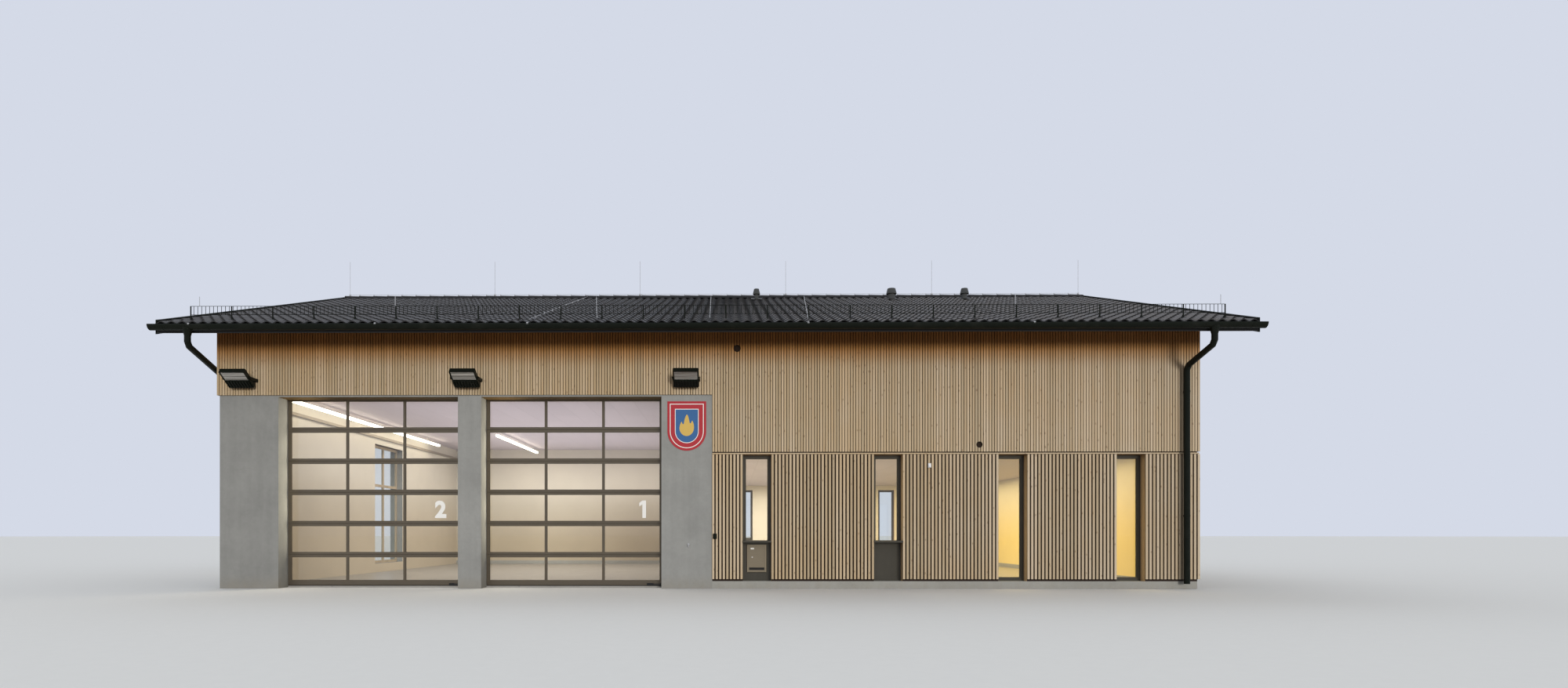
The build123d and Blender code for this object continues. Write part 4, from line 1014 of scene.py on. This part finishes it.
class STATION_OT_roof_tiles(Step, bpy.types.Operator):
    """Lay rolled tiles on both slopes, course by course"""

    bl_idname = "station.roof_tiles"
    bl_label = "Roof tiles"

    def execute(self, context):
        sizes = context.scene.station_sizes
        count = round(2 * ROOF_END_X / sizes.tile_width)
        width = 2 * ROOF_END_X / count
        tiles = self.tile(width, sizes.tile_roll)
        each = len(tiles.data.vertices)
        row(tiles, count, (width, 0, 0))
        row(tiles, COURSE_COUNT, (0, COURSE_RUN, COURSE_RUN * SLOPE))
        tone_copies(tiles, each, 61)
        smooth(tiles, 50)
        paint(tiles, look_of(tile_clay, context.scene.station_colours.tiles))
        fit_both(tiles, "tiles", "roof_tiles", "roof_tiles")
        return {"FINISHED"}

    def tile(self, width, roll):
        """One tile at the left end of the front eave: trough, roll and nose."""
        columns, crest_over_eave, nose = 10, 0.006, 0.022
        lone(None)
        bpy.ops.mesh.primitive_grid_add(
            x_subdivisions=columns, y_subdivisions=1, size=1,
            location=(-ROOF_END_X + width / 2, -EAVE_Y + COURSE_RUN / 2, EAVE_TILE_Z),
        )
        bpy.ops.transform.resize(value=(width, COURSE_RUN, 1))
        piece = settle("tile")
        for column in range(columns + 1):
            share = column / columns
            fall = roll * (1 - math.sin(math.pi * share) ** 1.6) - crest_over_eave
            place = -ROOF_END_X + width * share
            pick(piece, "VERT", lambda m, s: abs(m.x - place) < 0.001)
            bpy.ops.transform.translate(value=(0, 0, -fall))
        pick(piece, "VERT", lambda m, s: m.y > -EAVE_Y + 0.01)
        bpy.ops.transform.translate(value=(0, 0, COURSE_RUN * SLOPE - COURSE_STEP))
        pick(piece, "EDGE", lambda m, s: abs(s.y) < 0.001 and m.y < -EAVE_Y + 0.01)
        bpy.ops.mesh.extrude_region_move(TRANSFORM_OT_translate={"value": (0, 0.002, -nose)})
        turn_outward()
        if sum(face.normal.z for face in piece.data.polygons) < 0:
            pick(piece, "FACE", everything)
            bpy.ops.mesh.flip_normals()
            leave()
        return piece


class STATION_OT_ridge_tiles(Step, bpy.types.Operator):
    """Lay half round ridge tiles, each lapped by the next"""

    bl_idname = "station.ridge_tiles"
    bl_label = "Ridge tiles"

    def execute(self, context):
        count = round(2 * ROOF_END_X / context.scene.station_sizes.ridge_tile)
        length = 2 * ROOF_END_X / count
        radius, thickness, taper = 0.1, 0.011, 0.88
        foot = CREST_Z - radius
        lone(None)
        bpy.ops.mesh.primitive_cylinder_add(
            vertices=28, radius=radius, depth=length, end_fill_type="NOTHING",
            location=(-ROOF_END_X + length / 2, 0, foot), rotation=(0, math.pi / 2, 0),
        )
        piece = settle("ridge_tiles")
        trim(piece, (0, 0, foot), (0, 0, -1), fill=False)
        pick(piece, "VERT", lambda m, s: m.x > -ROOF_END_X + length / 2)
        bpy.ops.transform.resize(value=(1, taper, taper), center_override=(0, 0, foot))
        leave()
        modify(piece, "SOLIDIFY", thickness=thickness, offset=-1)
        each = len(piece.data.vertices)
        row(piece, count, (length, 0, 0))
        tone_copies(piece, each, 71)
        smooth(piece, 40)
        paint(piece, look_of(tile_clay, context.scene.station_colours.tiles))
        fit(piece, "roof_tiles", "ridge_cap")
        return {"FINISHED"}


class STATION_OT_snow_bars(Step, bpy.types.Operator):
    """Weld the upright bars between the rails of the snow guards"""

    bl_idname = "station.snow_bars"
    bl_label = "Snow guard bars"

    def execute(self, context):
        spacing = context.scene.station_sizes.bar_spacing
        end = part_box("snow_guard_front")[1]
        margin, half_width, half_depth = 0.04, 0.005, 0.003
        foot, top = end.z - 0.180, end.z - 0.004
        count = int(2 * (end.x - margin) / spacing) + 1
        start = -spacing * (count - 1) / 2
        bars = cuboid(
            "snow_bars", (start - half_width, -GUARD_Y - half_depth, foot),
            (start + half_width, -GUARD_Y + half_depth, top),
        )
        bevel(bars, 0.0015, lambda m, s: abs(s.z) > 0.01)
        row(bars, count, (spacing, 0, 0))
        paint(bars, look_of(coated_metal, context.scene.station_colours.dark_metal))
        fit_both(bars, "snow_bars", "dark_metal")
        return {"FINISHED"}


class STATION_OT_gutter_straps(Step, bpy.types.Operator):
    """Hang the gutters in flat straps"""

    bl_idname = "station.gutter_straps"
    bl_label = "Gutter straps"

    def execute(self, context):
        spacing = context.scene.station_sizes.strap_spacing
        width, margin, below_rim, sweep = 0.026, 0.1, math.radians(16), math.radians(148)
        count = int(2 * (ROOF_END_X - margin) / spacing) + 1
        start = -spacing * (count - 1) / 2
        low, high = GUTTER_RADIUS + 0.0003, GUTTER_RADIUS + 0.0030
        centre = (start, -GUTTER_Y, GUTTER_Z)
        lone(None)
        bpy.ops.mesh.primitive_plane_add(size=1, location=(start, -GUTTER_Y - (low + high) / 2, GUTTER_Z))
        bpy.ops.transform.resize(value=(width, high - low, 1))
        straps = settle("gutter_straps")
        pick(straps, "FACE", everything)
        bpy.ops.transform.rotate(value=-below_rim, orient_axis="X", center_override=centre)
        bpy.ops.mesh.spin(steps=10, angle=-sweep, center=centre, axis=(1, 0, 0))
        turn_outward()
        if max(v.co.z for v in straps.data.vertices) > GUTTER_Z:
            raise RuntimeError("the gutter strap was turned the wrong way")
        row(straps, count, (spacing, 0, 0))
        paint(straps, look_of(coated_metal, context.scene.station_colours.dark_metal))
        fit_both(straps, "gutter_straps", "dark_metal")
        return {"FINISHED"}


class STATION_OT_conductors(Step, bpy.types.Operator):
    """Run the lightning conductor along the ridge and down the front slope, on its holders"""

    bl_idname = "station.conductors"
    bl_label = "Lightning conductors"

    def execute(self, context):
        sizes = context.scene.station_sizes
        radius, wire_end = sizes.wire_radius, ROOF_END_X - 0.1
        half_width, half_length, sunk, over_wire = 0.008, 0.016, 0.004, 0.008
        pieces = [rod("wire", (-wire_end, 0, RIDGE_WIRE_Z), (wire_end, 0, RIDGE_WIRE_Z), radius)]
        holder = cuboid(
            "holder", (-half_width, -half_length, CREST_Z - sunk),
            (half_width, half_length, RIDGE_WIRE_Z + over_wire),
        )
        bevel(holder, 0.004, lambda m, s: m.z > RIDGE_WIRE_Z)
        count = round(2 * ROOF_END_X / sizes.ridge_tile)
        pitch = 2 * ROOF_END_X / count
        holders = twin(holder, "holders", Matrix.Translation((-pitch * (count - 2) / 2, 0, 0)))
        pieces.append(row(holders, count - 1, (pitch, 0, 0)))
        for top_x, low_x, low_y in CONDUCTORS:
            pieces += self.down(top_x, low_x, low_y, radius, holder)
        bpy.data.objects.remove(holder)
        fit(paint(fuse("conductors", pieces), look_of(drawn_aluminium)), "bare_metal")
        self.clamps()
        return {"FINISHED"}

    def down(self, top_x, low_x, low_y, radius, holder):
        """Conductor down the front slope between two places, with a holder on every third course."""
        top_y, lift = 0.08, 0.028
        high = (top_x, -top_y, TILE_APEX_Z - top_y * SLOPE + lift)
        low = (low_x, -low_y, TILE_APEX_Z - low_y * SLOPE + lift)
        pieces = [rod("wire", high, low, radius)]
        for course in range(2, COURSE_COUNT, 3):
            y = EAVE_Y - COURSE_RUN * (course + 0.1)
            place = top_x + (low_x - top_x) * (y - top_y) / (low_y - top_y)
            drop = TILE_APEX_Z - y * SLOPE + lift - RIDGE_WIRE_Z
            pieces.append(twin(holder, "holder", Matrix.Translation((place, -y, drop))))
        return pieces

    def clamps(self):
        """Clamps of the conductor on the gutter's rim."""
        pieces = []
        rim_y = -GUTTER_Y - GUTTER_RADIUS
        half_width, front, back = 0.018, rim_y + 0.0005, rim_y + 0.024
        foot, top = GUTTER_Z - 0.014, GUTTER_Z + 0.020
        for place in (-10.09, -6.43, -3.45, 2.02, 6.40):
            clamp = cuboid("clamp", (place - half_width, front, foot), (place + half_width, back, top))
            bevel(clamp, 0.004, lambda m, s: abs(s.x) > 0.01, segments=2)
            pieces.append(clamp)
        fit(paint(fuse("gutter_clamps", pieces), look_of(drawn_aluminium)), "bare_metal")


class STATION_OT_numbers(Step, bpy.types.Operator):
    """Put the plain white bay numbers on the door panes"""

    bl_idname = "station.numbers"
    bl_label = "Bay numbers"

    foot = 1.478
    height = 0.372

    def execute(self, context):
        face_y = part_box("door_glass")[0].y - 0.0015
        white = look_of(enamel, (0.82, 0.82, 0.80))
        for piece in (self.two(-5.80, face_y), self.one(-1.368, face_y)):
            fit(paint(piece, white), "white_plastic")
        return {"FINISHED"}

    def two(self, left, face_y):
        """The figure 2, a little bolder and narrower than the plain letter."""
        lone(None)
        bpy.ops.object.text_add()
        figure = bpy.context.object
        figure.data.body = "2"
        figure.data.offset = 0.045
        figure.data.extrude = 0.002
        figure.data.resolution_u = 4
        lone(figure)
        bpy.ops.object.convert(target="MESH")
        piece = bpy.context.object
        corner = Vector([min(v.co[i] for v in piece.data.vertices) for i in range(3)])
        scale = self.height / (max(v.co.y for v in piece.data.vertices) - corner.y)
        move = Matrix.Translation((left, face_y, self.foot)) @ Matrix.Rotation(math.pi / 2, 4, "X")
        grow = Matrix.Diagonal((scale * 0.98, scale, 0.35, 1))
        piece.matrix_world = move @ grow @ Matrix.Translation(-corner)
        return settle("number_2")

    def one(self, left, face_y):
        """The figure 1: a straight stem with a slanting flag at its top."""
        width, half_depth, flag_height, flag_reach = 0.077, 0.0007, 0.078, (-0.066, 0, -0.050)
        top = self.foot + self.height
        flag_z = top - flag_height
        stem = cuboid(
            "number_1", (left, face_y - half_depth, self.foot), (left + width, face_y + half_depth, top)
        )
        pick(stem, "FACE", everything)
        bpy.ops.mesh.bisect(plane_co=(0, 0, flag_z), plane_no=(0, 0, 1))
        leave()
        pick(stem, "FACE", lambda m, n: n.x < -0.9 and m.z > flag_z)
        bpy.ops.mesh.extrude_region_move(TRANSFORM_OT_translate={"value": flag_reach})
        leave()
        return stem


class STATION_OT_shield(Step, bpy.types.Operator):
    """Draw the white line and a plain device on the shield"""

    bl_idname = "station.shield"
    bl_label = "Shield device"

    def execute(self, context):
        low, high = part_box("shield_plate")
        face_y = low.y + 0.0052
        dress(look_of(enamel, context.scene.station_colours.enamel), "shield_plate")
        white = look_of(enamel, (0.80, 0.79, 0.76))
        blue = look_of(enamel, (0.035, 0.12, 0.30))
        gold = look_of(enamel, (0.62, 0.42, 0.10))
        line = self.plate("shield_line", low, high, 0.050, face_y, 0.0016)
        self.hollow(line, 0.016)
        field = self.plate("shield_field", low, high, 0.170, face_y, 0.0014)
        edge = self.plate("shield_field_edge", low, high, 0.156, face_y, 0.0008)
        flame = self.flame("shield_flame", (low + high) / 2, face_y)
        for piece, colour in ((line, white), (edge, white), (field, blue), (flame, gold)):
            fit(paint(piece, colour), "sign_enamel")
        return {"FINISHED"}

    def plate(self, name, low, high, margin, face_y, thickness):
        """Thin plate of the shield's outline, set in by a margin."""
        width = high.x - low.x - 2 * margin
        top, bottom = high.z - margin, low.z + margin
        lone(None)
        bpy.ops.mesh.primitive_plane_add(
            size=1, location=((low.x + high.x) / 2, face_y, (top + bottom) / 2),
            rotation=(math.pi / 2, 0, 0),
        )
        bpy.ops.transform.resize(value=(width, 1, top - bottom))
        piece = settle(name)
        pick(piece, "VERT", lambda m, s: m.z < (top + bottom) / 2)
        bpy.ops.mesh.bevel(offset=width / 2 - 0.001, segments=12, affect="VERTICES")
        bpy.ops.mesh.select_all(action="SELECT")
        bpy.ops.mesh.extrude_region_move(TRANSFORM_OT_translate={"value": (0, -thickness, 0)})
        turn_outward()
        return piece

    def hollow(self, piece, width):
        """Leave only a line of that width along the plate's edge."""
        pick(piece, "FACE", lambda m, n: abs(n.y) > 0.9)
        bpy.ops.mesh.inset(thickness=width)
        bpy.ops.mesh.delete(type="FACE")
        leave()

    def flame(self, name, middle, face_y):
        """Plain flame of three tongues."""
        points = [
            (-0.005, -0.24), (-0.10, -0.20), (-0.155, -0.11), (-0.150, -0.01), (-0.105, 0.09),
            (-0.095, 0.02), (-0.060, 0.01), (-0.050, 0.12), (0.005, 0.25), (0.045, 0.13),
            (0.060, 0.03), (0.090, 0.04), (0.110, 0.11), (0.150, 0.01), (0.150, -0.11), (0.095, -0.20),
        ]
        curve = bpy.data.curves.new(name, "CURVE")
        curve.dimensions = "2D"
        curve.fill_mode = "BOTH"
        curve.extrude = 0.001
        curve.resolution_u = 3
        spline = curve.splines.new("NURBS")
        spline.points.add(len(points) - 1)
        for spot, (x, z) in zip(spline.points, points):
            spot.co = (x, z, 0, 1)
        spline.order_u = 3
        spline.use_cyclic_u = True
        made = bpy.data.objects.new(name, curve)
        bpy.context.collection.objects.link(made)
        lone(made)
        bpy.ops.object.convert(target="MESH")
        place = Vector((middle.x, face_y - 0.0016, middle.z + 0.02))
        stood_up = Matrix.Rotation(math.pi / 2, 4, "X")
        bpy.context.object.matrix_world = Matrix.Translation(place) @ stood_up
        return settle(name)


class STATION_OT_lamp_reflectors(Step, bpy.types.Operator):
    """Fit the ribbed reflectors in the floodlights"""

    bl_idname = "station.lamp_reflectors"
    bl_label = "Lamp reflectors"

    def execute(self, context):
        outward = Vector((0, -math.cos(LAMP_TILT), math.sin(LAMP_TILT)))
        facing = Vector((0, -math.sin(LAMP_TILT), -math.cos(LAMP_TILT)))
        reach, recess = 0.099, 0.0085
        centre = LAMP_MIDDLE + outward * reach - facing * recess
        width, depth, ribs, rib_height, left_shift = 0.470, 0.219, 12, 0.006, 0.065
        boxes = [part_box(name) for name in ("pier_left", "pier_middle", "pier_right")]
        places = [(low.x + high.x) / 2 for low, high in boxes]
        places[0] -= left_shift
        pieces = []
        for place in places:
            lone(None)
            bpy.ops.mesh.primitive_grid_add(x_subdivisions=1, y_subdivisions=ribs, size=1)
            bpy.ops.transform.resize(value=(width, depth, 1))
            piece = settle("reflector")
            for rib in range(0, ribs + 1, 2):
                ridge = -depth / 2 + depth * rib / ribs
                pick(piece, "VERT", lambda m, s: abs(m.y - ridge) < 0.001)
                bpy.ops.transform.translate(value=(0, 0, rib_height))
            leave()
            turn = Matrix((Vector((1, 0, 0)), outward, facing)).transposed().to_4x4()
            piece.matrix_world = Matrix.Translation((place, centre.y, centre.z)) @ turn
            pieces.append(settle("reflector"))
        fit(paint(fuse("lamp_reflectors", pieces), look_of(lamp_reflector)), "dark_metal")
        return {"FINISHED"}


class STATION_OT_letter_label(Step, bpy.types.Operator):
    """Stick the bare name label on the letter box"""

    bl_idname = "station.letter_label"
    bl_label = "Letter box label"

    def execute(self, context):
        low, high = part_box("letter_box")
        middle, face = (low.x + high.x) / 2, low.y + 0.005
        left, right, foot, top = middle - 0.128, middle - 0.056, low.z + 0.480, low.z + 0.514
        label = cuboid("letter_label", (left, face - 0.0015, foot), (right, face + 0.001, top))
        bevel(label, 0.004, lambda m, s: abs(s.y) > 0.001, segments=2)
        fit(paint(label, look_of(moulded_plastic, (0.78, 0.78, 0.74))), "white_plastic")
        return {"FINISHED"}


class STATION_OT_foot_grilles(Step, bpy.types.Operator):
    """Fit the small black ribbed plates at the right end of each door's bottom rail"""

    bl_idname = "station.foot_grilles"
    bl_label = "Foot grilles"

    def execute(self, context):
        pieces = []
        width, rim, foot, top = 0.30, 0.005, 0.038, 0.092
        rib_foot, rib_top, rib_pitch = 0.047, 0.053, 0.015
        for name, end in (("door_2", 0.07), ("door_1", 0.10)):
            low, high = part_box(name)
            right, face = high.x - end, low.y - 0.0015
            left = right - width
            plate = cuboid("grille", (left, face, foot), (right, low.y + 0.02, top))
            pick(plate, "FACE", lambda m, n: n.y < -0.9)
            bpy.ops.mesh.inset(thickness=rim)
            bpy.ops.transform.translate(value=(0, 0.003, 0))
            leave()
            rib = cuboid("rib", (left + rim, face, rib_foot), (right - rim, low.y + 0.003, rib_top))
            bevel(rib, 0.0015, lambda m, s: abs(s.x) > 0.01 and m.y < low.y)
            pieces += [plate, row(rib, 3, (0, 0, rib_pitch))]
        grilles = fuse("foot_grilles", pieces)
        fit(paint(grilles, look_of(moulded_plastic, (0.012, 0.012, 0.012))), "door_metal")
        return {"FINISHED"}


class STATION_OT_guard_rods(Step, bpy.types.Operator):
    """Stand the short lightning rods on the front snow guard"""

    bl_idname = "station.guard_rods"
    bl_label = "Guard rods"

    def execute(self, context):
        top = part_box("snow_guard_front")[1].z
        radius, sunk, height = 0.006, 0.002, 0.19
        pieces = [
            rod("guard_rod", (place, -GUARD_Y, top - sunk), (place, -GUARD_Y, top + height), radius)
            for place in (-10.23, -6.26, 6.22, 10.32)
        ]
        fit(paint(fuse("guard_rods", pieces), look_of(drawn_aluminium)), "bare_metal")
        return {"FINISHED"}


class STATION_OT_stage(Step, bpy.types.Operator):
    """Set up the floor, the background, the lamps and the camera"""

    bl_idname = "station.stage"
    bl_label = "Stage"

    seen_rays = ("Camera", "Glossy", "Transmission")

    def execute(self, context):
        colours = context.scene.station_colours
        self.floor(tuple(colours.ground))
        self.world(context, tuple(colours.backdrop))
        self.lamps()
        self.camera(context)
        context.scene.view_settings.view_transform = "Standard"
        return {"FINISHED"}

    def floor(self, colour):
        """Wide floor, pale to the eye and dark in the light that it throws back."""
        lone(None)
        bpy.ops.mesh.primitive_circle_add(vertices=96, radius=600, fill_type="NGON", location=(0, 0, -0.002))
        piece = settle("studio_floor")
        look = Look(bpy.data.materials.new("studio_floor"))
        pale = look.shade(colour, 0.98 + look.noise(6.0, 3.0, 0.6) * 0.04)
        base = look.blend(look.rays(*self.seen_rays), DARK_GROUND, pale)
        paint(piece, look.done(Base_Color=base, Roughness=0.9))

    def world(self, context, colour):
        """Even sky light, and the backdrop's colour wherever it is seen."""
        context.scene.world = bpy.data.worlds.new("studio")
        look = Look(context.scene.world, "ShaderNodeOutputWorld")
        background = "ShaderNodeBackground"
        sky = look.node(background, {}, {"Color": (0.94, 0.97, 1.0), "Strength": 0.62})
        backdrop = look.node(background, {}, {"Color": colour})
        seen = look.rays(*self.seen_rays)
        look.done(look.node("ShaderNodeMixShader", {}, {0: seen, 1: sky, 2: backdrop}))

    def lamps(self):
        """Two soft suns, and the rooms' own light."""
        self.sun("key", 2.15, 13, (1.0, 0.965, 0.92), (0, -30, 8), (84.5, 0, 14))
        self.sun("rim", 0.5, 40, (0.92, 0.95, 1.0), (0, 20, 20), (40, 0, 200))
        warm, reveal = (1.0, 0.90, 0.76), (1.0, 0.86, 0.66)
        self.panel("hall_glow", 430, (7.0, 12.0), warm, (-4.9, 0, 4.05), (0, 0, 0))
        for place in (-8.35, -4.10):
            self.panel("reveal_glow", 33, (0.4, 2.8), reveal, (place, -6.72, 2.4), (-90, 0, -40))
        self.panel("ceiling_glow", 215, (7.0, 12.0), (0.98, 0.93, 1.0), (-4.9, 0, 2.2), (180, 0, 0))
        self.panel("room_glow", 430, (4.0, 12.0), (1.0, 0.77, 0.34), (7.4, 0, 2.9), (0, 0, 0))
        self.panel("office_glow", 640, (3.0, 12.0), (1.0, 0.91, 0.76), (2.2, 0, 2.9), (0, 0, 0))

    def sun(self, name, power, spread, colour, place, turn):
        data = bpy.data.lights.new(name, "SUN")
        data.angle = math.radians(spread)
        self.hang(data, power, colour, place, turn)

    def panel(self, name, power, size, colour, place, turn):
        data = bpy.data.lights.new(name, "AREA")
        data.shape = "RECTANGLE"
        data.size, data.size_y = size
        self.hang(data, power, colour, place, turn)

    def hang(self, data, power, colour, place, turn):
        """Hang a lamp, turned by degrees, whose light reaches things but which isn't seen itself."""
        data.energy, data.color = power, colour
        lamp = bpy.data.objects.new(data.name, data)
        bpy.context.scene.collection.objects.link(lamp)
        lamp.location = place
        lamp.rotation_euler = [math.radians(angle) for angle in turn]
        lamp.visible_camera = False
        lamp.visible_glossy = False
        lamp.visible_transmission = False

    def camera(self, context):
        """Camera fitted to the photo: level, turned a little, with a shifted lens."""
        data = bpy.data.cameras.new("view")
        data.lens, data.sensor_width = 19.8, 36
        data.shift_x, data.shift_y = 0.0398, 0.1215
        data.clip_end = 2000
        camera = bpy.data.objects.new("view", data)
        context.scene.collection.objects.link(camera)
        camera.location = (0.48, -25.35, 1.128)
        camera.rotation_euler = (math.pi / 2, 0, math.radians(0.5))
        context.scene.camera = camera


STEPS = (
    STATION_OT_finishes,
    STATION_OT_slats,
    STATION_OT_joint_strips,
    STATION_OT_roof_tiles,
    STATION_OT_ridge_tiles,
    STATION_OT_snow_bars,
    STATION_OT_gutter_straps,
    STATION_OT_conductors,
    STATION_OT_numbers,
    STATION_OT_shield,
    STATION_OT_lamp_reflectors,
    STATION_OT_letter_label,
    STATION_OT_foot_grilles,
    STATION_OT_guard_rods,
    STATION_OT_stage,
)


class STATION_PT_panel(bpy.types.Panel):
    """Sizes, colours and steps of the fire station"""

    bl_idname = "STATION_PT_panel"
    bl_label = "Fire Station"
    bl_space_type = "VIEW_3D"
    bl_region_type = "UI"
    bl_category = "Fire Station"

    def draw(self, context):
        scene = context.scene
        for heading, group in (("Sizes", scene.station_sizes), ("Colours", scene.station_colours)):
            box = self.layout.box()
            box.label(text=heading)
            for name in group.__annotations__:
                box.prop(group, name)
        steps = self.layout.column(align=True)
        for step in STEPS:
            steps.operator(step.bl_idname)


CLASSES = (StationSizes, StationColours, *STEPS, STATION_PT_panel)


def register():
    for item in CLASSES:
        bpy.utils.register_class(item)
    bpy.types.Scene.station_sizes = PointerProperty(type=StationSizes)
    bpy.types.Scene.station_colours = PointerProperty(type=StationColours)


def unregister():
    del bpy.types.Scene.station_colours
    del bpy.types.Scene.station_sizes
    for item in reversed(CLASSES):
        bpy.utils.unregister_class(item)


def main():
    register()
    for step in STEPS:
        group, name = step.bl_idname.split(".")
        getattr(getattr(bpy.ops, group), name)()


if __name__ == "__main__":
    main()
